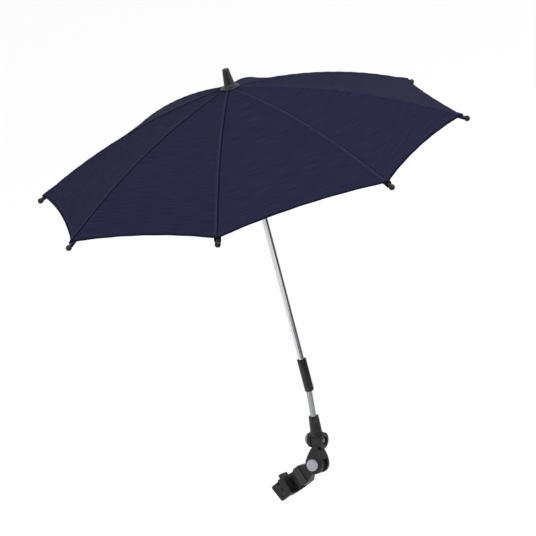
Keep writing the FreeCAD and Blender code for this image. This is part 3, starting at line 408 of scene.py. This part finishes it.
# Stove enamel: black and even, with a soft sheen.
black_enamel = grained(
    "black_enamelled_steel", dark="#0d0d0e", light="#161617", grain_mm=1.5,
    rough=(0.3, 0.42), relief_mm=0.004,
)
rib_angles = {count + 1: FIRST_RIB + RIB_STEP * count for count in range(RIB_COUNT)}
dress(gloss_black, "runner", "runner_stop_ring", "crown_hub")
dress(zinc_plate, "crown_hinge_wire")
for number in rib_angles:
    dress(black_enamel, f"rib_{number}", f"stretcher_{number}")
    dress(gloss_black, f"rib_tip_{number}")

# Corner pockets: small cups in the canopy's own navy cloth, sewn under its eight corners.
# A rib's end goes through each one, and its ball tip keeps it there.
TIP_RADIUS = 350.0
TIP_DROP = 123.6
RIB_SAGITTA = 17.0
HINGE_RADIUS = 10.0
ROD_DROP = 3.0
FERRULE_HEIGHT = 31.0
CLOTH_THICK = 0.6
POCKET_START = 322.0
POCKET_END = 345.0
POCKET_ROWS = 9
POCKET_SWELL = (302.0, 332.0)
POCKET_HALF_WIDTH = 5.0
POCKET_TOP = 3.4
POCKET_SIDE = 1.0
POCKET_DEPTH = 4.0
POCKET_ARC = (-10, -170)
POCKET_ARC_POINTS = 11
PLAIN_CLOTH = {"from_seam": 20.0, "from_hem": 20.0}  # far from any seam or hem
NAVY_DARK = "#1e1f34"
NAVY_LIGHT = "#25263b"
# Painted highlight: a lighter navy laid along each seam's fold, where light would catch it.
PAINTED_SEAM_HIGHLIGHT = "#2a2b43"
# Painted shade: a darker navy in each seam's ditch and along the hem's edge, where shadow would
# fall.
PAINTED_NAVY_SHADE = "#101020"
SLUB_LENGTH = 40.0
SLUB_WIDTH = 1.6
SLUB_DETAIL = 2.0
SLUB_LOW, SLUB_HIGH = 0.35, 0.72
SLUB_RELIEF = 2.0  # how much higher than a thread a slub stands
WEAVE = 0.9
WEAVE_RELIEF = 0.04
WAVE_BANDS = 20 / (2 * math.pi)  # bands that a wave texture draws in one unit
# Bands of painted light: a painted highlight on each seam's fold, and painted shade in its ditch
# and at the hem's edge.
PAINTED_LIGHT_BANDS = (  # what a colour follows, from where to where, over what soft edge, in millimetres
    ("from_seam", -2.8, -1.2, 2.2, PAINTED_SEAM_HIGHLIGHT),
    ("from_seam", 0.2, 1.4, 1.2, PAINTED_NAVY_SHADE),
    ("from_hem", 0.0, 1.6, 1.6, PAINTED_NAVY_SHADE),
)

tube_low, tube_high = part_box("upper_tube")
apex = (tube_low + tube_high) / 2 / MM
apex.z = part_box("ferrule")[1].z / MM - FERRULE_HEIGHT

chord = Vector((TIP_RADIUS - HINGE_RADIUS, ROD_DROP - TIP_DROP))
chord_normal = Vector((-chord.y, chord.x)) / chord.length
rod_curve = (chord.length**2 / 4 + RIB_SAGITTA**2) / (2 * RIB_SAGITTA)
curve_middle = Vector((HINGE_RADIUS, -ROD_DROP)) + chord / 2
curve_middle -= chord_normal * (rod_curve - RIB_SAGITTA)


def curve_height(reach, above_rod):
    """The height over the apex of an arc above the ribs' own, at a distance from the shaft."""
    return curve_middle.y + np.sqrt((rod_curve + above_rod)**2 - (reach - curve_middle.x)**2)


def step_between(low, high, value):
    """A smooth step from 0 to 1 as a value goes from low to high."""
    share = np.clip((value - low) / (high - low), 0, 1)
    return share * share * (3 - 2 * share)


def pocket_grid(wall):
    """The pocket's lower half, in its rib's frame, a wall's thickness inside."""
    width, depth = POCKET_HALF_WIDTH - wall, POCKET_DEPTH - wall
    angles = np.radians(np.linspace(*POCKET_ARC, POCKET_ARC_POINTS))
    across = np.concatenate([[width, width], width * np.cos(angles), [-width, -width]])
    sides = [POCKET_TOP, POCKET_SIDE]
    height = np.concatenate([sides, depth * np.sin(angles), sides[::-1]])
    reach = np.linspace(POCKET_START, POCKET_END, POCKET_ROWS)
    fullness = step_between(*POCKET_SWELL, reach)
    x = np.broadcast_to(reach, (len(across), len(reach)))
    y = np.outer(across, fullness)
    z = np.outer(height, fullness) + curve_height(reach, 0)
    return np.stack([x, y, z])


def set_apart(grid, angle):
    """A grid from a rib's frame, turned to its rib and moved to the crown."""
    turn = np.array(Matrix.Rotation(angle, 3, "Z"))
    return np.tensordot(turn, grid, 1) + np.array(apex)[:, None, None]


def thick_sheet(name, outer, inner, material):
    """A closed sheet between two grids of points."""
    columns, rows = outer.shape[1:]
    spots = np.concatenate([outer.reshape(3, -1).T, inner.reshape(3, -1).T])
    number = np.arange(columns * rows).reshape(columns, rows)
    quads = [number[:-1, :-1], number[:-1, 1:], number[1:, 1:], number[1:, :-1]]
    quads = np.stack(quads, -1).reshape(-1, 4)
    under = quads[:, ::-1] + columns * rows
    rim = [number[:, 0], number[-1, 1:], number[-2::-1, -1], number[0, -2:0:-1]]
    rim = np.concatenate(rim)
    after = np.roll(rim, -1)
    edge = np.stack([rim, after, after + columns * rows, rim + columns * rows], -1)
    faces = np.concatenate([quads, under, edge]).tolist()
    return new_piece(name, spots.tolist(), faces, material)


def mark(piece, **distances):
    """Gives a cloth piece's points their distances from seam and hem, in millimetres."""
    for name, values in distances.items():
        marks = np.broadcast_to(np.array(values, np.float32), len(piece.data.vertices))
        layer = piece.data.attributes.new(name, "FLOAT", "POINT")
        layer.data.foreach_set("value", np.ascontiguousarray(marks))


def woven_cloth():
    """Navy polyester: a dull plain weave, with slubs along the weft that give it a faint streak.

    Each seam has a painted highlight on its fold and painted shade in its ditch, and the hem's edge
    has painted shade too.
    Real threads are about 0.2 mm apart; the weave is drawn coarser, so that it shows."""
    material, tree, shader = start_material(
        "navy_polyester_cloth", Roughness=1.0, Specular_IOR_Level=0.05
    )
    place = add_node(tree, "ShaderNodeUVMap", uv_map="cloth").outputs["UV"]
    scale = (1 / (SLUB_LENGTH * MM), 1 / (SLUB_WIDTH * MM), 1)
    spot = add_node(tree, "ShaderNodeMapping", {"Vector": place, "Scale": scale}).outputs["Vector"]
    noise = {"Vector": spot, "Scale": 1.0, "Detail": SLUB_DETAIL}
    slubs = add_node(tree, "ShaderNodeTexNoise", noise, noise_dimensions="2D").outputs["Fac"]
    limits = {"Value": slubs, "From Min": SLUB_LOW, "From Max": SLUB_HIGH}
    share = add_node(tree, "ShaderNodeMapRange", limits).outputs["Result"]
    shades = {0: share, 6: linear(NAVY_DARK), 7: linear(NAVY_LIGHT)}
    colour = add_node(tree, "ShaderNodeMix", shades, data_type="RGBA").outputs[2]
    # Each band paints a highlight or shade into the cloth's colour.
    for name, low, high, soft, code in PAINTED_LIGHT_BANDS:
        distance = add_node(tree, "ShaderNodeAttribute", attribute_name=name).outputs["Fac"]
        rise = {"Value": distance, "From Min": low - soft, "From Max": low}
        fall = {"Value": distance, "From Min": high, "From Max": high + soft}
        fall.update({"To Min": 1.0, "To Max": 0.0})
        up = add_node(tree, "ShaderNodeMapRange", rise).outputs["Result"]
        down = add_node(tree, "ShaderNodeMapRange", fall).outputs["Result"]
        within = add_node(tree, "ShaderNodeMath", {0: up, 1: down}, operation="MULTIPLY")
        shades = {0: within.outputs["Value"], 6: colour, 7: linear(code)}
        colour = add_node(tree, "ShaderNodeMix", shades, data_type="RGBA").outputs[2]
    pitch = 1 / (WEAVE * MM * WAVE_BANDS)
    bands = {"Vector": place, "Scale": pitch}
    warp = add_node(tree, "ShaderNodeTexWave", bands, bands_direction="X").outputs["Fac"]
    weft = add_node(tree, "ShaderNodeTexWave", bands, bands_direction="Y").outputs["Fac"]
    weave = add_node(tree, "ShaderNodeMath", {0: warp, 1: weft}, operation="MAXIMUM")
    heights = {0: slubs, 1: SLUB_RELIEF, 2: weave.outputs["Value"]}
    relief = add_node(tree, "ShaderNodeMath", heights, operation="MULTIPLY_ADD").outputs["Value"]
    bump = add_node(tree, "ShaderNodeBump", {"Height": relief, "Distance": WEAVE_RELIEF * MM})
    tree.links.new(colour, shader.inputs["Base Color"])
    tree.links.new(bump.outputs["Normal"], shader.inputs["Normal"])
    return material


navy_cloth = woven_cloth()
pockets = {}
for number, angle in rib_angles.items():
    outer, inner = (set_apart(pocket_grid(wall), angle) for wall in (0, CLOTH_THICK))
    pockets[number] = thick_sheet(f"canopy_pocket_{number}", outer, inner, navy_cloth)
    mark(pockets[number], **PLAIN_CLOTH)
    stands_for(pockets[number], f"rib_unit_{number}", "navy_cloth")

# Canopy: eight panels of the navy cloth, sewn over the ribs and hemmed; one surface at rest.
# The cloth of each rib is in left and right strips at eight levels. How each strip would narrow
# as the runner comes down, the left ones under the next rib's right ones, is worked out but not
# applied.
CLOTH_ABOVE_ROD = 2.9
CORNER_RADIUS = 343.5
HEM_MID_RADIUS = 310.0
CROWN_RADIUS = 9.5
SAG = 3.0
SEAM_WIDTH = 7.0
SEAM_DROP = 1.2
SEAM_EDGE = 1.0
SEAM_RISE = 0.7
SEAM_FADE = 20.0  # below this half-width, near the crown, a seam's relief fades out
PUCKER = 0.22
PUCKER_WAVE = 11.0
HEM_WIDTH = 8.0
HEM_EDGE = 0.3
HEM_RISE = 0.35
HEM_RIPPLE = 0.4
HEM_RIPPLES = 3
HEM_RIPPLE_REACH = 24.0
TAB_RISE = 1.4
TAB_REACH = 20.0
TAB_WIDTH = 6.5
TAB_FLARE = 2.0
TAB_FLARE_WIDTH = 8.0
EDGE_GAP = 0.01
NEAR_SEAM = (0, 0.4, 0.9, 1.6, 3.2, 5.4, 6.4, 7.4, 8.6, 12.0)
NEAR_SEAM_SHARES = (0, 0.04, 0.08, 0.13, 0.2, 0.28, 0.34, 0.4, 0.46, 0.55)
NEAR_HEM = (14.0, 10.0, 8.6, 8.0, 7.4, 6.5, 4.5, 2.5, 1.0, 0.4, 0)
FAR_COLUMNS = 12
ROWS = 44
FOLD_ROWS = (0, 3, 6, 11, 19, 27, 35, 41)  # the rows of points at which the levels start
HINGE_DROP = 8.0
CLOSED_TIP_RADIUS = 16.0
NARROWING_LEAST = 0.1  # points that move less than this don't limit how far a strip narrows
FOLD_CLEARANCE = 0.96  # the part of its own room that a right strip takes up
FOLD_OVERLAP = 1.48  # the part that a left strip takes up, as it goes on under its neighbour
FOLD_OVERLAP_MOST = 0.55
FOLD_TUCK = 0.36
FOLD_TUCK_MOST = 0.5
STITCH_PITCH = 4.0
STITCH_LENGTH = 3.0
STITCH_THREAD = 0.4
STITCH_LIFT = 0.15
HEM_STITCH = 6.5
SEAM_STITCHES = (1.6, 5.4)
SEAM_STITCH_ROW = 2


def hem_reach(share):
    """How far down a rib the hem's level is, at a share of the way from rib to mid-panel."""
    corner_x = CORNER_RADIUS * math.cos(HALF_STEP)
    corner_y = CORNER_RADIUS * math.sin(HALF_STEP)
    dip = corner_x - HEM_MID_RADIUS
    hem_curve = (corner_y**2 + dip**2) / (2 * dip)
    middle = HEM_MID_RADIUS + hem_curve
    across = (1 - share) * math.sin(HALF_STEP)
    square = math.cos(HALF_STEP)**2 + across**2
    half = math.cos(HALF_STEP) * middle
    return (half - np.sqrt(half**2 - square * (middle**2 - hem_curve**2))) / square


def column_places(half_width):
    """How far the columns of points in one half are from the seam, where it is that wide."""
    limits = zip(NEAR_SEAM, NEAR_SEAM_SHARES)
    near = [np.minimum(place, share * half_width) for place, share in limits]
    rest = half_width - near[-1]
    return near + [near[-1] + rest * (step + 1) / FAR_COLUMNS for step in range(FAR_COLUMNS)]


def cloth_half(side):
    """The cloth on one side of a rib, in the rib's frame.

    Seven layers: points (3), distances from seam and hem, and places across and along the cloth."""
    corner_width = CORNER_RADIUS * math.sin(HALF_STEP)
    seam_width = SEAM_WIDTH if side < 0 else SEAM_DROP
    columns = []
    for number, place in enumerate(column_places(corner_width)):
        flare = TAB_FLARE * math.exp(-(place / TAB_FLARE_WIDTH)**2)
        hem = hem_reach(place / corner_width) + flare
        upper = np.linspace(CROWN_RADIUS, hem - NEAR_HEM[0], ROWS)[:-1]
        reach = np.concatenate([upper, hem - np.array(NEAR_HEM)])
        half_width = reach * math.sin(HALF_STEP) - EDGE_GAP / 2
        across = column_places(half_width)[number]
        from_hem = hem - reach
        share = across / half_width
        fade = np.clip(half_width / SEAM_FADE, 0, 1)
        tab = step_between(TAB_REACH, TAB_REACH / 2, from_hem)
        seam = step_between(seam_width + SEAM_EDGE, seam_width - SEAM_EDGE, across)
        pucker = np.sin(2 * math.pi * reach / PUCKER_WAVE) * np.exp(-across / PUCKER_WAVE)
        ripple = np.sin(HEM_RIPPLES * math.pi * share)**2 * np.exp(-from_hem / HEM_RIPPLE_REACH)
        lift = -SAG * np.sin(math.pi * reach / hem) * (1 - (1 - share)**2)
        lift += TAB_RISE * tab * np.exp(-(across / TAB_WIDTH)**2)
        lift += SEAM_RISE * fade * seam
        lift += PUCKER * fade * pucker
        lift += HEM_RISE * step_between(HEM_WIDTH + HEM_EDGE, HEM_WIDTH - HEM_EDGE, from_hem)
        lift -= HEM_RIPPLE * ripple
        x = reach - across * math.sin(HALF_STEP)
        y = side * across * math.cos(HALF_STEP)
        z = curve_height(reach, CLOTH_ABOVE_ROD) + lift
        weft = side * (across - half_width)
        warp = np.hypot(reach, TIP_DROP * reach**2 / TIP_RADIUS**2)
        columns.append(np.stack([x, y, z, side * across, from_hem, weft, warp]))
    return np.array(columns).transpose(1, 0, 2)


def fold_way(strip, tuck=0):
    """The way in which a strip narrows when it folds, and the place on its rib that it goes to.

    A tuck tilts that way, which carries the strip's free edge inwards, under its neighbour."""
    seam = strip[:, 0]
    along = seam[:, -1] - seam[:, 0]
    along /= np.linalg.norm(along)
    chord = strip[:, -1, -1] - seam[:, -1]
    way = chord - along * (chord @ along)
    width = np.linalg.norm(way)
    outward = np.cross(along, way) / width
    way = way / width + outward * np.sign(outward[2]) * tuck
    return way / np.linalg.norm(way), seam[:, -1]


def folded_share(strip, way, anchor):
    """The share of its width with which a strip just meets its neighbour on closed ribs."""
    tip = Vector((TIP_RADIUS - HINGE_RADIUS, HINGE_DROP - TIP_DROP))
    closed = math.asin((CLOSED_TIP_RADIUS - HINGE_RADIUS) / tip.length) - math.pi / 2
    turn = closed - math.atan2(tip.y, tip.x)
    wide = np.multiply.outer(way, np.tensordot(way, strip - anchor[:, None, None], 1))
    thin = strip - wide
    thin_radius = HINGE_RADIUS + (thin[0] - HINGE_RADIUS) * math.cos(turn)
    thin_radius -= (thin[2] + HINGE_DROP) * math.sin(turn)
    wide_radius = wide[0] * math.cos(turn) - wide[2] * math.sin(turn)
    slope = math.tan(HALF_STEP)
    room = slope * thin_radius - np.abs(thin[1])
    need = np.abs(wide[1]) - slope * wide_radius
    moving = need > NARROWING_LEAST
    return float(np.min(room[moving] / need[moving]))


def folding(strip, side):
    """How a strip folds, in its rib's frame: which way, to what place, and the share it keeps."""
    way, anchor = fold_way(strip)
    meeting = folded_share(strip, way, anchor)
    kept = meeting * FOLD_CLEARANCE
    if side < 0:
        kept = max(kept, min(meeting * FOLD_OVERLAP, FOLD_OVERLAP_MOST))
        way, anchor = fold_way(strip, min(FOLD_TUCK * kept / (1 - kept), FOLD_TUCK_MOST))
    return way, anchor, kept


def sewing_tree():
    """Geometry nodes that set stitches along a line, each one a bead of thread."""
    tree = bpy.data.node_groups.new("sewn_row", "GeometryNodeTree")
    kinds = {"Geometry": "Geometry", "Material": "Material"}
    kinds.update({"Pitch": "Float", "Length": "Float", "Thread": "Float"})
    for name, kind in kinds.items():
        tree.interface.new_socket(name, in_out="INPUT", socket_type=f"NodeSocket{kind}")
    tree.interface.new_socket("Geometry", in_out="OUTPUT", socket_type="NodeSocketGeometry")
    given = add_node(tree, "NodeGroupInput").outputs
    line = add_node(tree, "GeometryNodeMeshToCurve", {"Mesh": given["Geometry"]}).outputs["Curve"]
    path = {"Curve": line, "Length": given["Pitch"]}
    row = add_node(tree, "GeometryNodeCurveToPoints", path, mode="LENGTH").outputs
    sides = {"X": given["Thread"], "Y": given["Thread"], "Z": given["Length"]}
    size = add_node(tree, "ShaderNodeCombineXYZ", sides).outputs["Vector"]
    ball = {"Radius": 0.5, "Subdivisions": 1}
    bead = add_node(tree, "GeometryNodeMeshIcoSphere", ball).outputs["Mesh"]
    spots = {"Points": row["Points"], "Rotation": row["Rotation"], "Instance": bead, "Scale": size}
    beads = add_node(tree, "GeometryNodeInstanceOnPoints", spots).outputs["Instances"]
    solid = add_node(tree, "GeometryNodeRealizeInstances", {"Geometry": beads}).outputs["Geometry"]
    dye = {"Geometry": solid, "Material": given["Material"]}
    dyed = add_node(tree, "GeometryNodeSetMaterial", dye).outputs["Geometry"]
    add_node(tree, "NodeGroupOutput", {"Geometry": dyed})
    return tree


def sewn_rows(name, lines, tree, material):
    """Stitches along lines of points in millimetres."""
    mesh = bpy.data.meshes.new(name)
    spots = [Vector(spot) * MM for line in lines for spot in line]
    starts = np.cumsum([0] + [len(line) for line in lines])
    edges = [(n, n + 1) for n in range(len(spots) - 1) if n + 1 not in starts]
    mesh.from_pydata(spots, edges, [])
    rows = bpy.data.objects.new(name, mesh)
    bpy.context.scene.collection.objects.link(rows)
    modifier = rows.modifiers.new("sewn_row", "NODES")
    modifier.node_group = tree
    values = {"Pitch": STITCH_PITCH * MM, "Length": STITCH_LENGTH * MM}
    values.update({"Thread": STITCH_THREAD * MM, "Material": material})
    for socket in tree.interface.items_tree:
        if socket.in_out == "INPUT" and socket.name in values:
            modifier[socket.identifier] = values[socket.name]
    seen = rows.evaluated_get(bpy.context.evaluated_depsgraph_get())
    rows.data = bpy.data.meshes.new_from_object(seen)
    rows.modifiers.clear()
    return rows


# Polyester thread: a shade lighter than the cloth, so that the rows of stitches just show.
navy_thread = grained(
    "navy_polyester_thread", dark="#24243a", light="#30304a", grain_mm=STITCH_THREAD,
    rough=(0.6, 0.8), relief_mm=0.02,
)
sewing = sewing_tree()
halves = {side: cloth_half(side) for side in (-1, 1)}
whole = np.concatenate([halves[-1][:, :0:-1], halves[1]], axis=1)
levels = list(zip(FOLD_ROWS, FOLD_ROWS[1:] + (whole.shape[2] - 1,)))
hem_row = ROWS - 1 + NEAR_HEM.index(HEM_STITCH)
seam_column = halves[1].shape[1] - 1
sewn_columns = [seam_column - NEAR_SEAM.index(place) for place in SEAM_STITCHES]
down = np.array((0, 0, CLOTH_THICK))[:, None, None]
lift = (0, 0, STITCH_LIFT)
for number, angle in rib_angles.items():
    body = f"rib_unit_{number}"
    turn = np.array(Matrix.Rotation(angle, 3, "Z"))
    lifted = set_apart(whole[:3], angle).transpose(1, 2, 0) + lift
    seam_lines = [lifted[column, SEAM_STITCH_ROW:hem_row] for column in sewn_columns]
    seam_stitches = sewn_rows(f"canopy_seam_stitches_{number}", seam_lines, sewing, navy_thread)
    stands_for(seam_stitches, body, "navy_cloth")
    for side, side_name in ((-1, "left"), (1, "right")):
        panel = 2 * TIP_RADIUS * ((number - 1 + (side > 0)) % RIB_COUNT)
        for level, (first, last) in enumerate(levels, 1):
            half = halves[side][:, :, first:last + 1]
            way, anchor, kept = folding(half[:3], side)
            way = turn @ way
            anchor = (Vector(turn @ anchor) + apex) * MM
            half = half[:, ::side]
            strip = set_apart(half[:3], angle)
            name = f"canopy_{number}_{side_name}_{level}"
            cloth = thick_sheet(name, strip, strip - down, navy_cloth)
            from_seam, from_hem, weft, warp = np.tile(half[3:].reshape(4, -1), 2)
            mark(cloth, from_seam=from_seam, from_hem=from_hem)
            corners = np.array([loop.vertex_index for loop in cloth.data.loops])
            places = np.stack([weft + panel, warp], -1)[corners] * MM
            layer = cloth.data.uv_layers.new(name="cloth")
            layer.data.foreach_set("uv", places.astype(np.float32).ravel())
            stands_for(cloth, body, "navy_cloth", "canopy")
            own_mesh(cloth)
        hem_line = strip.transpose(1, 2, 0)[:, hem_row - FOLD_ROWS[-1]] + lift
        name = f"canopy_hem_stitches_{number}_{side_name}"
        hem_stitches = sewn_rows(name, [hem_line], sewing, navy_thread)
        stands_for(hem_stitches, body, "navy_cloth")
        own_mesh(hem_stitches)
        sewn_on = [hem_stitches]
        if side < 0:
            sewn_on += [pockets[number], seam_stitches]

# Crown cap: a ring of the navy cloth that covers the panels' points where they meet.
# It lies on them, round the shaft, and the ferrule's flange holds it down.
CAP_RADIUS = 14.5
CAP_BORE = 5.4
CAP_LIFT = 0.1
CAP_THICK = 0.3

cap_heights = curve_height(np.array((CAP_BORE, CAP_RADIUS)), CLOTH_ABOVE_ROD) + CAP_LIFT
outline = [(CAP_BORE, cap_heights[0]), (CAP_RADIUS, cap_heights[1])]
outline += [(radius, height + CAP_THICK) for radius, height in reversed(outline)]
cap = hollow_piece("canopy_cap", outline, apex, (0, 0, 1), SLEEVE_STEPS, navy_cloth)
mark(cap, **PLAIN_CLOTH)
stands_for(cap, "shaft", "navy_cloth", "canopy")

# Ferrule: a cone of black acetal on a thin flange, screwed down on the cloth at the crown.
# Its flange follows the slope of the cloth.
FLANGE_RADIUS = 15.5
FLANGE_RIM = 1.2
FLANGE_RIM_ARC = (-90, 60)
FLANGE_RISE = 2.2
SWEEP_RADIUS = 4.0
SWEEP_ARC = (262, 186)
SWEEP_STEPS = 8
FERRULE_BASE_RADIUS = 8.3
FERRULE_TOP_RADIUS = 5.4
FERRULE_TOP_ROUND = 1.8
FERRULE_TOP_ARC = (4, 90)
FERRULE_BORE = 5.2
FERRULE_STEPS = 80
CLOTH_GAP = 0.7

# Satin acetal: a little greyer and duller than the sleeve's, with a broad highlight.
satin_black = grained(
    "satin_black_acetal", dark="#121213", light="#1a1a1b", grain_mm=ACETAL_FLOW,
    rough=(0.4, 0.5), relief_mm=0.008, Specular_IOR_Level=0.45,
)
seat = curve_height(FLANGE_RADIUS, CLOTH_ABOVE_ROD) + CLOTH_GAP
bore_seat = curve_height(FERRULE_BORE, CLOTH_ABOVE_ROD) + CLOTH_GAP
knee = seat + FLANGE_RIM + FLANGE_RISE
rim_round = FLANGE_RIM / 2
outline = [(FERRULE_BORE, bore_seat)]
outline += bow((FLANGE_RADIUS - rim_round, seat + rim_round), rim_round, *FLANGE_RIM_ARC)
sweep_middle = (FERRULE_BASE_RADIUS + SWEEP_RADIUS, knee + SWEEP_RADIUS)
outline += bow(sweep_middle, SWEEP_RADIUS, *SWEEP_ARC, SWEEP_STEPS)
top_middle = (FERRULE_TOP_RADIUS - FERRULE_TOP_ROUND, FERRULE_HEIGHT - FERRULE_TOP_ROUND)
outline += bow(top_middle, FERRULE_TOP_ROUND, *FERRULE_TOP_ARC)
ferrule = turned_piece("ferrule_cone", outline, apex, (0, 0, 1), FERRULE_STEPS, satin_black)
stands_for(ferrule, "shaft", "black_gloss_plastic", "ferrule")

# Stage: a white paper floor far below the held clamp, even white light, a soft lamp and the camera.
# Dark cards, which only reflections see, draw the stripes on the tubes and keep the plastic black.
FLOOR_DROP = 0.75
FLOOR_SIZE = (40.0, 40.0)
FLOOR_WHITE = "#fbfbfb"
SKY_WHITE = "#ffffff"
CARDS = {  # shade, size, place from the crown, and the way it faces
    "side": ("#55555a", (1.8, 0.8), (0.95, 0.1, -0.75), (-1, 0, 0)),
    "front": ("#050505", (1.4, 1.0), (0.43, -1.05, -0.2), (-0.35, 0.86, -0.35)),
    "low": ("#050505", (0.7, 0.3), (0.4, -1.0, -0.98), (-0.35, 0.86, 0.35)),
}
LAMP_PLACE = Vector((2.0, -1.4, 2.0))
LAMP_AIM = Vector((0, 0, -0.3))
LAMP_SIZE = 1.4
LAMP_POWER = 45
CAMERA_PLACE = Vector((1.18527, -2.90595, 0.88151))
CAMERA_AIM = Vector((0.00631, -0.05398, -0.28741))
CAMERA_ROLL = math.radians(-14.81)
CAMERA_LENS = 139.9


def add_card(name, size, code):
    """A flat rectangular card of one dull colour, before it is placed."""
    x, y = size[0] / 2, size[1] / 2
    mesh = bpy.data.meshes.new(name)
    mesh.from_pydata([(-x, -y, 0), (x, -y, 0), (x, y, 0), (-x, y, 0)], [], [(0, 1, 2, 3)])
    paint, _, _ = start_material(name, Base_Color=linear(code), Roughness=1.0)
    mesh.materials.append(paint)
    card = bpy.data.objects.new(name, mesh)
    bpy.context.scene.collection.objects.link(card)
    return card


crown = apex * MM
floor = add_card("white_paper_floor", FLOOR_SIZE, FLOOR_WHITE)
floor.location.z = cad_low.z - FLOOR_DROP
for name, (shade, size, place, way) in CARDS.items():
    card = add_card(f"dark_{name}_card", size, shade)
    card.location = crown + Vector(place)
    card.rotation_euler = Vector(way).to_track_quat("Z", "Y").to_euler()
    card.visible_camera = False
    card.visible_diffuse = False
    card.visible_shadow = False

world = bpy.data.worlds.new("studio")
world.use_nodes = True
sky = world.node_tree.nodes["Background"].inputs
sky["Color"].default_value = linear(SKY_WHITE)
sky["Strength"].default_value = 1.0
bpy.context.scene.world = world

lamp = bpy.data.objects.new("key", bpy.data.lights.new("key", "AREA"))
lamp.data.size = LAMP_SIZE
lamp.data.energy = LAMP_POWER
lamp.location = crown + LAMP_PLACE
lamp.rotation_euler = (LAMP_AIM - LAMP_PLACE).to_track_quat("-Z", "Y").to_euler()
bpy.context.scene.collection.objects.link(lamp)

camera = bpy.data.objects.new("camera", bpy.data.cameras.new("camera"))
camera.data.lens = CAMERA_LENS
aim = (CAMERA_AIM - CAMERA_PLACE).to_track_quat("-Z", "Y").to_matrix()
turn = Matrix.Rotation(CAMERA_ROLL, 3, "Z")
camera.matrix_world = Matrix.Translation(crown + CAMERA_PLACE) @ (aim @ turn).to_4x4()
bpy.context.scene.collection.objects.link(camera)
bpy.context.scene.camera = camera
bpy.context.scene.view_settings.view_transform = "Standard"
